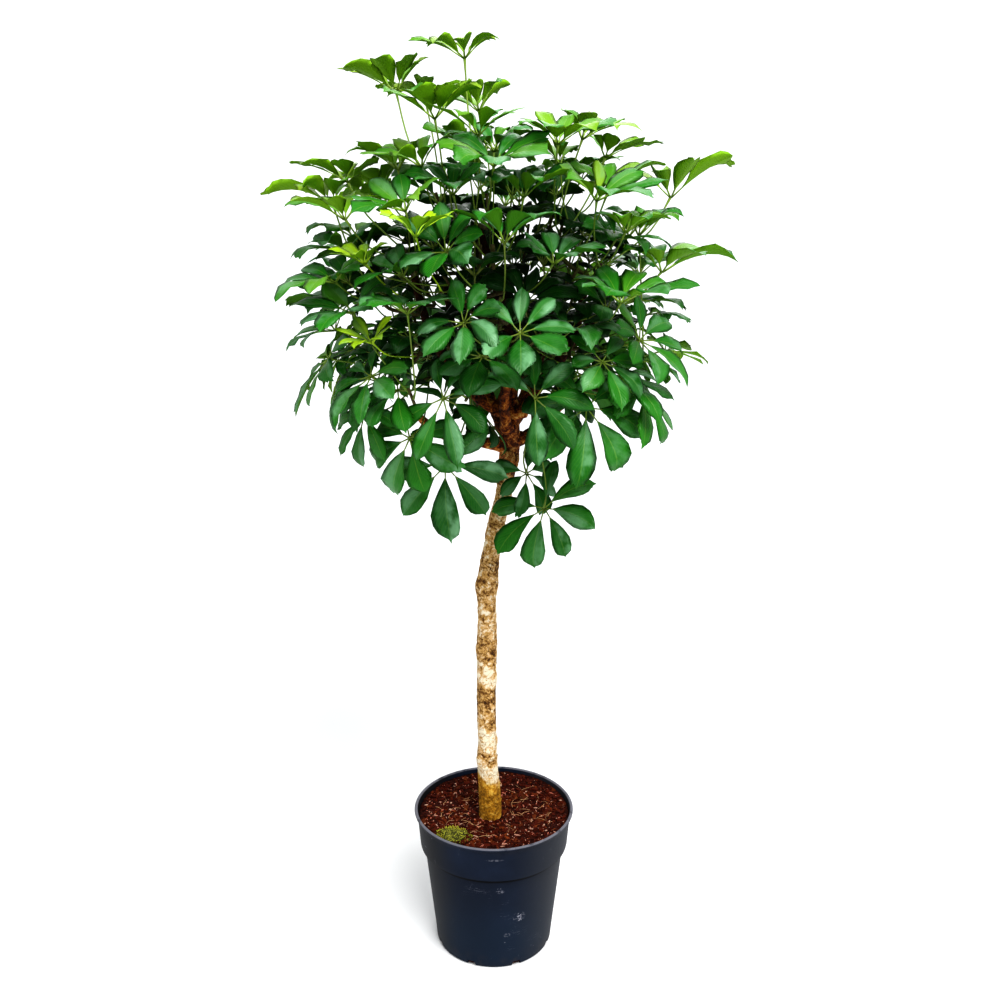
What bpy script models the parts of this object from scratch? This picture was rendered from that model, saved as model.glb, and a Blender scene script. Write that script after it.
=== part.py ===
"""Potted umbrella plant: a standard tree with a round crown, in a plastic nursery pot.

The frame has its origin at the centre of the pot's underside, with +Z up and -Y to the front.
All sizes are in metres. The crown is grown leaf by leaf: every compound leaf keeps clear of the
wood and of the leaves before it, and leaves out the leaflets that have no room.
"""
import math
import random

import bmesh
import bpy
from mathutils import Matrix, Vector
from mathutils.bvhtree import BVHTree

# Driving dimensions
POT_HEIGHT = 0.222
RIM_RADIUS = 0.1205
COLLAR_HEIGHT = 0.060
BASE_RADIUS = 0.0885
POT_WALL = 0.0022
POT_FLOOR = 0.0035
SOIL_LEVEL = 0.213
SOIL_DISH = 0.0075
STEM_PLACE = Vector((-0.005, 0.0, 0.0))
CROWN_CENTRE = Vector((0.0, 0.015, 0.990))
CROWN_HUBS = Vector((0.200, 0.212, 0.190))
CROWN_HEART = Vector((0.01, 0.0, 0.0))
LEAFLET_LENGTH = 0.069
LEAFLET_HALF_WIDTH = 0.183
WIDEST_AT = 0.58
LOWEST_LEAF = 0.72
LEAF_RANGE = 0.54
DRAIN_HOLES = 8
DRAIN_HOLE = (0.024, 0.013, 0.016)
WALL_FLARE = 0.0170
COLLAR_WALL = 0.0062
MOSS_PLACE = (-0.058, -0.052)
MOSS_REACH = (0.019, 0.011, 0.0022)
MOSS_TILT = 6.2
GAP = 0.0004
UP = Vector((0.0, 0.0, 1.0))

# Resolution
POT_SIDES = 32
TRUNK_SIDES = 12
LIMB_SIDES = 6
TWIG_SIDES = 4
HUB_SIDES = 8

# Compound leaf
HUB_RADIUS = 0.0042
HUB_DEPTH = 0.0022
PETIOLE_RADIUS = 0.0014
PETIOLE_STATIONS = (0.14, 0.62)
BLADE_KEEL = 0.0013
BLADE_CUP = 0.0022
TWIG_RADIUS = 0.0030
TWIG_STEP = 0.009
CLEARANCE = 0.0007

# Trunk's centre line: across, height, diameter
TRUNK_LINE = (
    (-0.005, 0.140, 0.033),
    (-0.005, 0.203, 0.034),
    (-0.006, 0.240, 0.034),
    (-0.009, 0.285, 0.031),
    (-0.010, 0.335, 0.027),
    (-0.011, 0.400, 0.028),
    (-0.010, 0.490, 0.029),
    (-0.010, 0.550, 0.027),
    (-0.009, 0.576, 0.031),
    (-0.007, 0.600, 0.028),
    (-0.003, 0.630, 0.025),
    (0.003, 0.667, 0.024),
    (0.012, 0.703, 0.023),
    (0.017, 0.737, 0.023),
    (0.021, 0.765, 0.028),
    (0.023, 0.790, 0.028),
    (0.022, 0.820, 0.026),
    (0.020, 0.850, 0.030),
)

# Limbs: name, radius at the foot and at the end, and the points on the way. The first point lies
# on the trunk's centre line.
LIMBS = (
    ("leader", 0.0105, 0.0045, ((0.020, 0.0, 0.850), (0.026, 0.004, 0.900), (0.004, 0.008, 1.000),
                                (-0.022, 0.0, 1.080))),
    ("limb_left_low", 0.0085, 0.0045, ((0.023, 0.0, 0.785), (-0.020, -0.008, 0.790),
                                       (-0.070, -0.030, 0.805), (-0.110, -0.040, 0.840))),
    ("limb_left", 0.0090, 0.0045, ((0.021, 0.0, 0.836), (-0.030, -0.015, 0.862),
                                   (-0.080, -0.035, 0.935), (-0.105, -0.040, 1.020))),
    ("limb_right", 0.0090, 0.0045, ((0.020, 0.0, 0.832), (0.062, -0.022, 0.872),
                                    (0.105, -0.035, 0.935), (0.120, -0.035, 1.020))),
    ("limb_right_low", 0.0075, 0.0040, ((0.023, 0.0, 0.792), (0.060, 0.012, 0.806),
                                        (0.095, 0.020, 0.835), (0.125, 0.015, 0.870))),
    ("limb_front", 0.0080, 0.0040, ((0.021, 0.0, 0.812), (0.014, -0.050, 0.855),
                                    (0.020, -0.085, 0.925), (0.012, -0.090, 1.000))),
    ("limb_back_left", 0.0085, 0.0040, ((0.021, 0.0, 0.806), (-0.010, 0.052, 0.850),
                                        (-0.055, 0.090, 0.925), (-0.070, 0.100, 1.010))),
    ("limb_back_right", 0.0085, 0.0040, ((0.021, 0.0, 0.818), (0.050, 0.052, 0.862),
                                         (0.080, 0.090, 0.935), (0.085, 0.100, 1.020))),
)

# Leaves that face the front, shoot by shoot. Each leaf is the place of its hub (across, depth,
# height), its size, how far it leans from level and how far it turns from facing straight out,
# in degrees.
FRONT_SHOOTS = (
    ("shoot_top_left", ((-0.125, 0.000, 1.245, 1.15, 8, 0), (-0.070, -0.120, 1.205, 1.10, 14, 10),
                        (-0.085, -0.145, 1.150, 0.90, 15, -20), (-0.090, 0.060, 1.235, 0.95, 12, 0))),
    ("shoot_top", ((-0.036, -0.040, 1.281, 0.88, 8, 0), (-0.025, -0.135, 1.200, 0.95, 12, 20),
                   (0.000, -0.165, 1.150, 1.05, 22, 10), (-0.020, 0.040, 1.225, 0.95, 10, 0))),
    ("shoot_upper_heart", ((-0.050, -0.150, 1.120, 0.85, 12, 0), (0.035, -0.150, 1.115, 0.95, 12, 0),
                           (0.000, -0.060, 1.170, 0.90, 15, 0))),
    ("shoot_top_right", ((0.075, -0.145, 1.175, 0.95, 12, -15), (0.110, -0.060, 1.185, 0.95, 15, 0),
                         (0.145, 0.000, 1.165, 0.90, 15, 0))),
    ("shoot_upper_right", ((0.130, -0.160, 1.115, 1.05, 12, 0), (0.232, 0.000, 1.115, 1.28, 5, 0),
                           (0.155, -0.165, 1.075, 0.75, 12, 0))),
    ("shoot_upper_left", ((-0.100, -0.175, 1.110, 0.95, 12, 0), (-0.178, -0.085, 1.135, 0.95, 12, 20),
                          (-0.175, -0.150, 1.090, 1.00, 10, 0), (-0.120, -0.080, 1.150, 0.90, 12, 0))),
    ("shoot_left", ((-0.228, -0.060, 1.070, 1.12, 12, 0), (-0.195, -0.140, 1.025, 1.05, 15, 0),
                    (-0.185, -0.070, 1.010, 0.95, 30, 0))),
    ("shoot_front_high", ((-0.055, -0.205, 1.055, 1.00, 42, 0), (0.012, -0.215, 1.065, 1.10, 8, 0),
                          (0.070, -0.180, 1.040, 0.90, 15, 0))),
    ("shoot_front_left", ((-0.100, -0.210, 0.985, 0.95, 5, 0), (-0.170, -0.150, 0.980, 1.05, 28, 0))),
    ("shoot_left_low", ((-0.212, -0.085, 0.915, 1.05, 60, 0), (-0.215, 0.000, 0.870, 0.95, 65, 20),
                        (-0.150, -0.165, 0.905, 0.95, 50, 0))),
    ("shoot_left_hanging", ((-0.215, 0.060, 0.905, 0.90, 60, 0), (-0.168, -0.105, 0.845, 0.95, 70, 20),
                            (-0.105, -0.150, 0.825, 1.05, 70, 10))),
    ("shoot_front_hanging", ((-0.060, -0.205, 0.885, 1.05, 65, 0), (-0.062, -0.130, 0.785, 1.25, 75, 10))),
    ("shoot_front", ((0.030, -0.230, 0.965, 0.95, 45, 0), (-0.035, -0.215, 0.975, 0.90, 48, 0))),
    ("shoot_right_hanging", ((0.113, -0.170, 0.868, 1.25, 65, 0), (0.158, -0.150, 0.865, 1.05, 55, 0))),
    ("shoot_front_low", ((0.048, -0.200, 0.885, 1.05, 70, -10), (0.085, -0.125, 0.880, 0.85, 50, 0))),
    ("shoot_trunk", ((0.062, -0.060, 0.706, 1.20, 78, -35), (0.045, -0.030, 0.750, 0.80, 60, -20))),
    ("shoot_right_low", ((0.130, -0.180, 0.925, 0.85, 50, 0), (0.180, -0.135, 0.945, 1.05, 45, 0))),
    ("shoot_right", ((0.150, -0.185, 0.995, 1.15, 8, -10), (0.210, -0.095, 1.025, 1.20, 8, 0))),
    ("shoot_right_high", ((0.190, -0.070, 1.080, 0.90, 10, 0), (0.140, -0.105, 1.065, 0.90, 10, 0))),
)

# Young leaves, each on a twig of its own, with leaflets that still stand up
YOUNG_LEAVES = (
    ("young_leaf_left", (-0.150, -0.185, 1.040, 0.60, 15, 0)),
    ("young_leaf_front", (-0.088, -0.225, 1.072, 0.75, 10, 60)),
    ("young_leaf_low", (-0.143, -0.200, 0.950, 0.60, 30, 0)),
)
YOUNG_RISE = 42.0

# Rest of the crown: shells of an oval, each with its scale, spacing between hubs and leaf size
FILL_NODES = 25
SHELLS = (
    (1.00, 0.055, 0.98),
    (0.70, 0.055, 0.95),
    (0.42, 0.056, 0.90),
    (0.18, 0.060, 0.85),
)
SHELL_TRIES = 900
MOST_LEAVES = 7
LOWEST_FILL = 0.855
FORK_TOP = 0.93
FORK_VIEW = 0.07
GOLDEN_ANGLE = math.pi * (3.0 - math.sqrt(5.0))


def clear_scene():
    for item in list(bpy.data.objects):
        bpy.data.objects.remove(item, do_unlink=True)


def material(name, colour, roughness, metallic=0.0):
    made = bpy.data.materials.new(name)
    made.use_nodes = True
    shader = made.node_tree.nodes["Principled BSDF"]
    shader.inputs["Base Color"].default_value = (*colour, 1.0)
    shader.inputs["Roughness"].default_value = roughness
    shader.inputs["Metallic"].default_value = metallic
    return made


def add_object(name, bm, finish, smooth_angle=None):
    """Close, face out and store a bmesh as a named object."""
    bmesh.ops.recalc_face_normals(bm, faces=bm.faces)
    bmesh.ops.triangulate(bm, faces=bm.faces)
    mesh = bpy.data.meshes.new(name)
    bm.to_mesh(mesh)
    bm.free()
    mesh.materials.append(finish)
    if smooth_angle is not None:
        mesh.shade_smooth()
        mesh.set_sharp_from_angle(angle=smooth_angle)
    item = bpy.data.objects.new(name, mesh)
    bpy.context.scene.collection.objects.link(item)
    return item


def turned_solid(profile, sides):
    """Turn an outline of (radius, height) points, from axis to axis, about the Z axis."""
    bm = bmesh.new()
    points = [bm.verts.new((radius, 0.0, height)) for radius, height in profile]
    edges = [bm.edges.new(pair) for pair in zip(points, points[1:])]
    bmesh.ops.spin(bm, geom=points + edges, cent=(0, 0, 0), axis=(0, 0, 1), dvec=(0, 0, 0),
                   angle=math.tau, steps=sides, use_merge=True)
    bmesh.ops.remove_doubles(bm, verts=bm.verts, dist=0.00005)
    return bm


# ---------------------------------------------------------------- tubes

def square_to(vector, direction):
    """The part of a vector that is square to a direction, at unit length."""
    across = vector - direction * vector.dot(direction)
    if across.length < 1e-6:
        across = direction.orthogonal()
    return across.normalized()


def place_ring(cap, centre, direction, radius, side):
    """Put a cap's corners on a circle, each at the place nearest to where it points now."""
    corners = [loop.vert for loop in cap.loops]
    across = square_to(side, direction)
    along = direction.cross(across)
    step = math.tau / len(corners)
    first = corners[0].co - cap.calc_center_median()
    start = round(math.atan2(first.dot(along), first.dot(across)) / step) * step
    for index, corner in enumerate(corners):
        angle = start + index * step
        corner.co = centre + radius * (math.cos(angle) * across + math.sin(angle) * along)


def extend(bm, cap, centre, direction, radius, side):
    """Extrude a cap to its next station and return the new cap."""
    cap = bmesh.ops.extrude_discrete_faces(bm, faces=[cap])["faces"][0]
    place_ring(cap, centre, direction, radius, side)
    return cap


def directions_along(points, first=None, last=None):
    """A unit direction at each point of a route."""
    found = []
    for index, point in enumerate(points):
        before = points[max(index - 1, 0)]
        after = points[min(index + 1, len(points) - 1)]
        found.append((after - before).normalized())
    if first is not None:
        found[0] = first
    if last is not None:
        found[-1] = last
    return found


def start_cap(bm, centre, direction, radius, sides, side):
    """A flat polygon to grow a tube from."""
    made = bmesh.ops.create_circle(bm, cap_ends=True, segments=sides, radius=radius)
    cap = made["verts"][0].link_faces[0]
    turn = UP.rotation_difference(direction)
    for corner in cap.verts:
        corner.co = turn @ corner.co
    place_ring(cap, centre, direction, radius, side)
    return cap


def close_foot(bm):
    """Close the open end that extruding from a polygon leaves behind."""
    open_edges = [edge for edge in bm.edges if edge.is_boundary]
    bmesh.ops.holes_fill(bm, edges=open_edges, sides=0)


def grow_tube(bm, points, radii, sides, first=None, last=None):
    """A closed tube along a route."""
    ways = directions_along(points, first, last)
    side = square_to(Vector((1.0, 0.3, 0.0)), ways[0])
    cap = start_cap(bm, points[0], ways[0], radii[0], sides, side)
    for point, way, radius in zip(points[1:], ways[1:], radii[1:]):
        side = square_to(side, way)
        cap = extend(bm, cap, point, way, radius, side)
    close_foot(bm)


def smooth_route(points, steps):
    """A smooth curve through hand-placed points, with a few steps from each to the next."""
    ends = [2 * points[0] - points[1]] + list(points) + [2 * points[-1] - points[-2]]
    route = []
    for a, b, c, d in zip(ends, ends[1:], ends[2:], ends[3:]):
        for step in range(steps):
            t = step / steps
            route.append(0.5 * (2 * b + (c - a) * t + (2 * a - 5 * b + 4 * c - d) * t * t
                                + (3 * b - a - 3 * c + d) * t ** 3))
    route.append(points[-1])
    return route


def bend(start, start_way, end, end_way, t):
    """A point of the curve that leaves start along start_way and arrives along end_way."""
    a = 2 * t ** 3 - 3 * t ** 2 + 1
    b = t ** 3 - 2 * t ** 2 + t
    c = 3 * t ** 2 - 2 * t ** 3
    d = t ** 3 - t ** 2
    return a * start + b * start_way + c * end + d * end_way


# ---------------------------------------------------------------- room in the crown

class Room:
    """The solids placed so far, to test new ones against."""

    def __init__(self):
        self.placed = []

    def add(self, points, faces):
        low = Vector([min(point[axis] for point in points) for axis in range(3)])
        high = Vector([max(point[axis] for point in points) for axis in range(3)])
        self.placed.append((low, high, BVHTree.FromPolygons(points, faces)))

    def add_bmesh(self, bm):
        points = [corner.co.copy() for corner in bm.verts]
        bm.verts.index_update()
        self.add(points, [[corner.index for corner in face.verts] for face in bm.faces])

    def is_free(self, points, faces):
        low = Vector([min(point[axis] for point in points) for axis in range(3)])
        high = Vector([max(point[axis] for point in points) for axis in range(3)])
        shape = None
        for other_low, other_high, other in self.placed:
            if any(high[axis] < other_low[axis] or low[axis] > other_high[axis] for axis in range(3)):
                continue
            shape = shape or BVHTree.FromPolygons(points, faces)
            if shape.overlap(other):
                return False
        return True


def tube_shape(points, radii, swell, sides=6):
    """Corners and faces of a plain tube, for testing room."""
    ways = directions_along(points)
    side = ways[0].orthogonal()
    corners = []
    for point, way, radius in zip(points, ways, radii):
        side = square_to(side, way)
        along = way.cross(side)
        for index in range(sides):
            angle = math.tau * index / sides
            spoke = math.cos(angle) * side + math.sin(angle) * along
            corners.append(point + (radius + swell) * spoke)
    faces = []
    for ring in range(len(points) - 1):
        for index in range(sides):
            following = (index + 1) % sides
            faces.append((ring * sides + index, ring * sides + following,
                          (ring + 1) * sides + following, (ring + 1) * sides + index))
    return corners, faces


# ---------------------------------------------------------------- compound leaves

LEAFLET_FACES = ((0, 1, 5, 4), (2, 3, 6), (0, 4, 6, 2), (1, 3, 6, 5), (4, 5, 7), (4, 7, 6), (5, 6, 7))


def crown_share(height):
    """How high a place is in the crown, from 0 at the lowest leaf to 1 at the top."""
    return min(max((height - LOWEST_LEAF) / LEAF_RANGE, 0.0), 1.0)


def leaflet_rise(share):
    """Leaflets hang a little low in the crown and stand up like a cup in its upper half."""
    t = min(max((share - 0.25) / 0.33, 0.0), 1.0)
    return -8.0 + 46.0 * t * t * (3.0 - 2.0 * t)


class Leaf:
    """A compound leaf: a petiole that ends in a hub with leaflets all round."""

    def __init__(self, hub, size, whim, lean=None, turn=0.0, rise=None):
        self.hub = Vector(hub)
        self.size = size
        self.whim = whim
        self.height = crown_share(self.hub.z)
        self.lean = max(86.0 - 130.0 * self.height ** 0.9, 7.0) if lean is None else lean
        self.turn = turn
        self.base_rise = leaflet_rise(self.height) if rise is None else rise
        self.kept = set(range(HUB_SIDES))
        self.settle(0)

    def settle(self, attempt):
        """Set the whorl's attitude from its place in the crown, with a new whim at each attempt."""
        whim = self.whim
        spread = 1.0 + 0.4 * min(attempt, 6)
        lean = math.radians(self.lean + whim.uniform(-6.0, 6.0) * spread)
        outward = self.hub - CROWN_HEART
        turn = self.turn + whim.uniform(-10.0, 10.0) * spread
        bearing = math.atan2(outward.y, outward.x) + math.radians(turn)
        flat = Vector((math.cos(bearing), math.sin(bearing), 0.0))
        self.normal = (math.sin(lean) * flat + math.cos(lean) * UP).normalized()
        self.ahead = square_to(flat, self.normal)
        self.spin = whim.uniform(-0.4, 0.4)
        self.rise = math.radians(self.base_rise + whim.uniform(-4.0, 4.0) * spread)
        self.droop = 0.14 + 0.30 * whim.random()
        shift = 0.0012 * attempt
        self.place = self.hub + Vector([whim.uniform(-shift, shift) for _ in range(3)])
        self.lengths = [self.leaflet_length(side) for side in range(HUB_SIDES)]

    def leaflet_length(self, side):
        """Leaflets that point away from the petiole are the longest."""
        ahead = self.side_way(side).dot(self.ahead)
        return LEAFLET_LENGTH * self.size * (0.98 + 0.17 * ahead + self.whim.uniform(-0.07, 0.07))

    def ring_way(self, angle):
        across = self.ahead
        along = self.normal.cross(across)
        return math.cos(angle) * across + math.sin(angle) * along

    def side_way(self, side):
        return self.ring_way(self.spin + (side + 0.5) * math.tau / HUB_SIDES)

    def foot(self):
        return self.place - self.normal * HUB_DEPTH / 2

    def leaflet(self, side, swell=0.0):
        """Corners of one leaflet: four on the hub, then left, right, keel and tip."""
        half = self.normal * (HUB_DEPTH / 2 + swell)
        step = math.tau / HUB_SIDES
        left = self.place + HUB_RADIUS * self.ring_way(self.spin + (side + 1) * step)
        right = self.place + HUB_RADIUS * self.ring_way(self.spin + side * step)
        outward = self.side_way(side)
        way = math.cos(self.rise) * outward + math.sin(self.rise) * self.normal
        way = (way - 0.08 * UP).normalized()
        across = square_to(self.normal.cross(outward), way)
        face_way = way.cross(across)
        length = self.lengths[side]
        middle = (left + right) / 2 + way * length * WIDEST_AT
        tip_way = (way - self.droop * UP).normalized()
        tip = middle + tip_way * (length * (1.0 - WIDEST_AT) + swell)
        reach = across * (length * LEAFLET_HALF_WIDTH + swell)
        lift = face_way * (BLADE_CUP + swell / 2)
        keel = middle - face_way * (BLADE_KEEL + swell)
        return (left + half, right + half, left - half, right - half,
                middle + reach + lift, middle - reach + lift, keel, tip)

    def petiole(self, start, start_way):
        """Stations of the leaf's stalk, from a twig's face to the hub."""
        end = self.foot()
        run = end - start
        length = run.length
        start_pull = 0.45 * start_way * length + 0.5 * run
        end_pull = 0.65 * self.normal * length + 0.3 * run
        return [bend(start, start_pull, end, end_pull, t) for t in PETIOLE_STATIONS] + [end]

    def stalk_shape(self, start, start_way, swell):
        stations = [start + start_way * 0.001] + self.petiole(start, start_way)
        radii = [TWIG_STEP / 2] + [PETIOLE_RADIUS] * (len(stations) - 2) + [HUB_RADIUS]
        return tube_shape(stations, radii, swell)


def fit_leaf(room, leaf, start, start_way, fewest, attempts):
    """Try attitudes until the leaf has room for its stalk and most of its leaflets."""
    best = None
    for attempt in range(attempts):
        leaf.settle(attempt)
        if not room.is_free(*leaf.stalk_shape(start, start_way, CLEARANCE)):
            continue
        kept = {side for side in range(HUB_SIDES)
                if room.is_free(leaf.leaflet(side, CLEARANCE), LEAFLET_FACES)}
        if best is None or len(kept) > len(best[0]):
            best = (kept, leaf.normal, leaf.ahead, leaf.spin, leaf.rise, leaf.droop, leaf.place,
                    leaf.lengths)
        if len(kept) >= HUB_SIDES - 1:
            break
    if best is None or len(best[0]) < fewest:
        return False
    (leaf.kept, leaf.normal, leaf.ahead, leaf.spin, leaf.rise, leaf.droop, leaf.place,
     leaf.lengths) = best
    drop_one(leaf)
    for side in leaf.kept:
        room.add(leaf.leaflet(side), LEAFLET_FACES)
    room.add(*leaf.stalk_shape(start, start_way, 0.0))
    return True


def drop_one(leaf):
    """Most whorls have a gap on the petiole's side."""
    if len(leaf.kept) == HUB_SIDES and leaf.whim.random() < 0.6:
        behind = min(leaf.kept, key=lambda side: leaf.side_way(side).dot(leaf.ahead))
        leaf.kept = leaf.kept - {behind}


def grow_leaf(bm, face, leaf, start, start_way):
    """Extrude a face of the twig into a petiole, its hub and its leaflets."""
    stations = leaf.petiole(start, start_way)
    ways = directions_along([start] + stations, last=leaf.normal)
    side = square_to(face.calc_tangent_edge(), ways[0])
    for station, way in zip(stations[:-1], ways[1:-1]):
        side = square_to(side, way)
        face = extend(bm, face, station, way, PETIOLE_RADIUS, side)
    face = bmesh.ops.extrude_discrete_faces(bm, faces=[face])["faces"][0]
    move_cap(face, stations[-1])
    bmesh.ops.subdivide_edges(bm, edges=face.edges, cuts=1)
    place_ring(face, stations[-1], leaf.normal, HUB_RADIUS, leaf.ring_way(leaf.spin))
    top = bmesh.ops.extrude_discrete_faces(bm, faces=[face])["faces"][0]
    move_cap(top, stations[-1] + leaf.normal * HUB_DEPTH)
    walls = [next(other for other in edge.link_faces if other is not top) for edge in top.edges]
    for wall in walls:
        grow_leaflet(bm, wall, leaf)


def move_cap(cap, centre):
    shift = centre - cap.calc_center_median()
    for corner in cap.verts:
        corner.co += shift


def grow_leaflet(bm, wall, leaf):
    """Extrude one wall of the hub into a leaflet, if that leaflet is kept."""
    middle = wall.calc_center_median() - leaf.place
    side = max(range(HUB_SIDES), key=lambda index: leaf.side_way(index).dot(middle))
    if side not in leaf.kept:
        return
    left, right, keel, tip = leaf.leaflet(side)[4:]
    leftward = leaf.normal.cross(leaf.side_way(side))
    end = bmesh.ops.extrude_discrete_faces(bm, faces=[wall])["faces"][0]
    centre = end.calc_center_median()
    top = [corner for corner in end.verts if (corner.co - centre).dot(leaf.normal) > 0]
    low = [corner for corner in end.verts if corner not in top]
    top.sort(key=lambda corner: -(corner.co - centre).dot(leftward))
    top[0].co = left
    top[1].co = right
    bmesh.ops.pointmerge(bm, verts=low, merge_co=keel)
    blade_edge = bm.edges.get(top)
    front = next(face for face in blade_edge.link_faces if len(face.verts) == 3)
    point = bmesh.ops.poke(bm, faces=[front])["verts"][0]
    point.co = tip


# ---------------------------------------------------------------- shoots

class Limb:
    """A branch's centre line, to hang twigs on."""

    def __init__(self, points, foot_radius, end_radius):
        self.points = points
        self.ways = directions_along(points)
        last = len(points) - 1
        self.radii = [foot_radius + (end_radius - foot_radius) * index / last
                      for index in range(len(points))]

    def nearest(self, place):
        return min(range(2, len(self.points)), key=lambda index: (self.points[index] - place).length)


def twig_end(hubs, attempt, whim):
    """Where a shoot's twig ends: behind and below its leaves, or above them low in the crown."""
    middle = sum(hubs, Vector()) / len(hubs)
    height = crown_share(middle.z)
    outward = (middle - Vector((0.01, 0.0, 0.90))).normalized()
    spread = 0.003 * attempt
    wander = Vector([whim.uniform(-spread, spread) for _ in range(3)])
    return middle - outward * 0.085 - UP * (0.075 * height - 0.025) + wander


def plan_twig(room, limbs, hubs, whim, count):
    """A clear route from the nearest limb to the shoot's end, with one short step for each leaf."""
    for attempt in range(40):
        end = twig_end(hubs, attempt, whim)
        limb = min(limbs, key=lambda item: (item.points[item.nearest(end)] - end).length)
        index = limb.nearest(end)
        if attempt > 6:
            index = min(max(index + whim.randint(-2, 2), 2), len(limb.points) - 1)
        outward = square_to(end - limb.points[index], limb.ways[index])
        start = limb.points[index] + outward * (limb.radii[index] + GAP)
        run = end - start
        if run.length < 0.02:
            continue
        lead = (sum(hubs, Vector()) / len(hubs) - end).normalized()
        points = [bend(start, outward * run.length, end, lead * run.length * 0.6, t)
                  for t in (0.0, 0.25, 0.6, 1.0)]
        points += [end + lead * TWIG_STEP * (step + 1) for step in range(count)]
        if room.is_free(*tube_shape(points, [TWIG_RADIUS] * len(points), CLEARANCE)):
            return points, outward, lead
    return None


def side_faces(bm, points, level):
    """The walls of one step of a twig."""
    middle = (points[level] + points[level + 1]) / 2
    walls = [face for face in bm.faces if len(face.verts) == 4]
    return sorted(walls, key=lambda face: (face.calc_center_median() - middle).length)[:TWIG_SIDES]


def plan_shoot(room, limbs, leaves, whim, fewest, attempts):
    """Twig first, then each leaf on the step of the twig that suits it. Returns a bmesh or None."""
    hubs = [leaf.hub for leaf in leaves]
    twig = plan_twig(room, limbs, hubs, whim, len(leaves))
    if twig is None:
        return None, []
    points, foot_way, lead = twig
    bm = bmesh.new()
    radii = [TWIG_RADIUS] * (len(points) - 1) + [TWIG_RADIUS * 0.7]
    grow_tube(bm, points, radii, TWIG_SIDES, first=foot_way, last=lead)
    bm.normal_update()
    steps = len(points) - 1 - len(leaves)
    order = sorted(leaves, key=lambda leaf: (leaf.hub - points[-1]).dot(lead))
    jobs = []
    taken = []
    for offset, leaf in enumerate(order):
        level = steps + offset
        middle = (points[level] + points[level + 1]) / 2
        heading = (leaf.hub - middle).normalized()
        face = max(side_faces(bm, points, level), key=lambda wall: wall.normal.dot(heading))
        start = face.calc_center_median()
        start_way = face.normal.copy()
        if fit_leaf(room, leaf, start, start_way, fewest, attempts):
            jobs.append((face, leaf, start, start_way))
            taken.append(leaf)
    if not taken:
        bm.free()
        return None, []
    room.add(*tube_shape(points, radii, 0.0))
    for face, leaf, start, start_way in jobs:
        grow_leaf(bm, face, leaf, start, start_way)
    return bm, taken


# ---------------------------------------------------------------- rest of the crown

def spiral_hubs(scale, spacing, taken):
    """Hubs spread evenly over an oval, wherever no leaf is near yet."""
    found = []
    for index in range(SHELL_TRIES):
        height = 1.0 - 2.0 * (index + 0.5) / SHELL_TRIES
        bearing = index * GOLDEN_ANGLE
        ring = math.sqrt(1.0 - height * height)
        way = Vector((math.cos(bearing) * ring, math.sin(bearing) * ring, height))
        hub = CROWN_CENTRE + scale * Vector([CROWN_HUBS[axis] * way[axis] for axis in range(3)])
        before_fork = hub.y < 0.0 and hub.z < FORK_TOP and abs(hub.x - TRUNK_LINE[-1][0]) < FORK_VIEW
        if hub.z < LOWEST_FILL or before_fork:
            continue
        if all((hub - other).length > spacing for other in taken + found):
            found.append(hub)
    return found


def group_leaves(leaves, count):
    """Share leaves out between a number of shoots, neighbours together, from the outside in."""
    left = list(leaves)
    groups = []
    while left and len(groups) < count:
        share = min(math.ceil(len(left) / (count - len(groups))), MOST_LEAVES)
        seed = max(left, key=lambda leaf: (leaf.hub - CROWN_CENTRE).length)
        left.sort(key=lambda leaf: (leaf.hub - seed.hub).length)
        groups.append(left[:share])
        left = left[share:]
    return groups


def side_name(place):
    """A plain name for a place in the crown."""
    tier = "low"
    if place.z > 0.90:
        tier = "middle"
    if place.z > 1.06:
        tier = "high"
    across = "left" if place.x < 0 else "right"
    depth = "back" if place.y > 0 else "front"
    return f"{tier}_{depth}_{across}"


# ---------------------------------------------------------------- pot and mix

def inner_radius(height):
    """The pot wall's inner radius, below the collar."""
    top = POT_HEIGHT - COLLAR_HEIGHT
    share = (height - POT_FLOOR) / (top - POT_FLOOR)
    return BASE_RADIUS - POT_WALL + share * WALL_FLARE


def pot_profile():
    """Outline of the pot, from the middle of its underside round the rim to its inner floor."""
    top = POT_HEIGHT
    step = POT_HEIGHT - COLLAR_HEIGHT
    wall = BASE_RADIUS + WALL_FLARE
    return (
        (0.0, 0.0),
        (BASE_RADIUS - 0.005, 0.0),
        (BASE_RADIUS, 0.005),
        (wall, step - 0.001),
        (RIM_RADIUS - 0.0085, step + 0.001),
        (RIM_RADIUS - 0.0040, top - 0.010),
        (RIM_RADIUS - 0.0005, top - 0.008),
        (RIM_RADIUS, top - 0.004),
        (RIM_RADIUS - 0.0012, top),
        (RIM_RADIUS - 0.0045, top - 0.0005),
        (RIM_RADIUS - COLLAR_WALL, top - 0.010),
        (RIM_RADIUS - COLLAR_WALL - 0.0045, step + 0.0030),
        (wall - POT_WALL, step - 0.0005),
        (inner_radius(POT_FLOOR + 0.004), POT_FLOOR + 0.004),
        (BASE_RADIUS - POT_WALL - 0.004, POT_FLOOR),
        (0.0, POT_FLOOR),
    )


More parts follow.
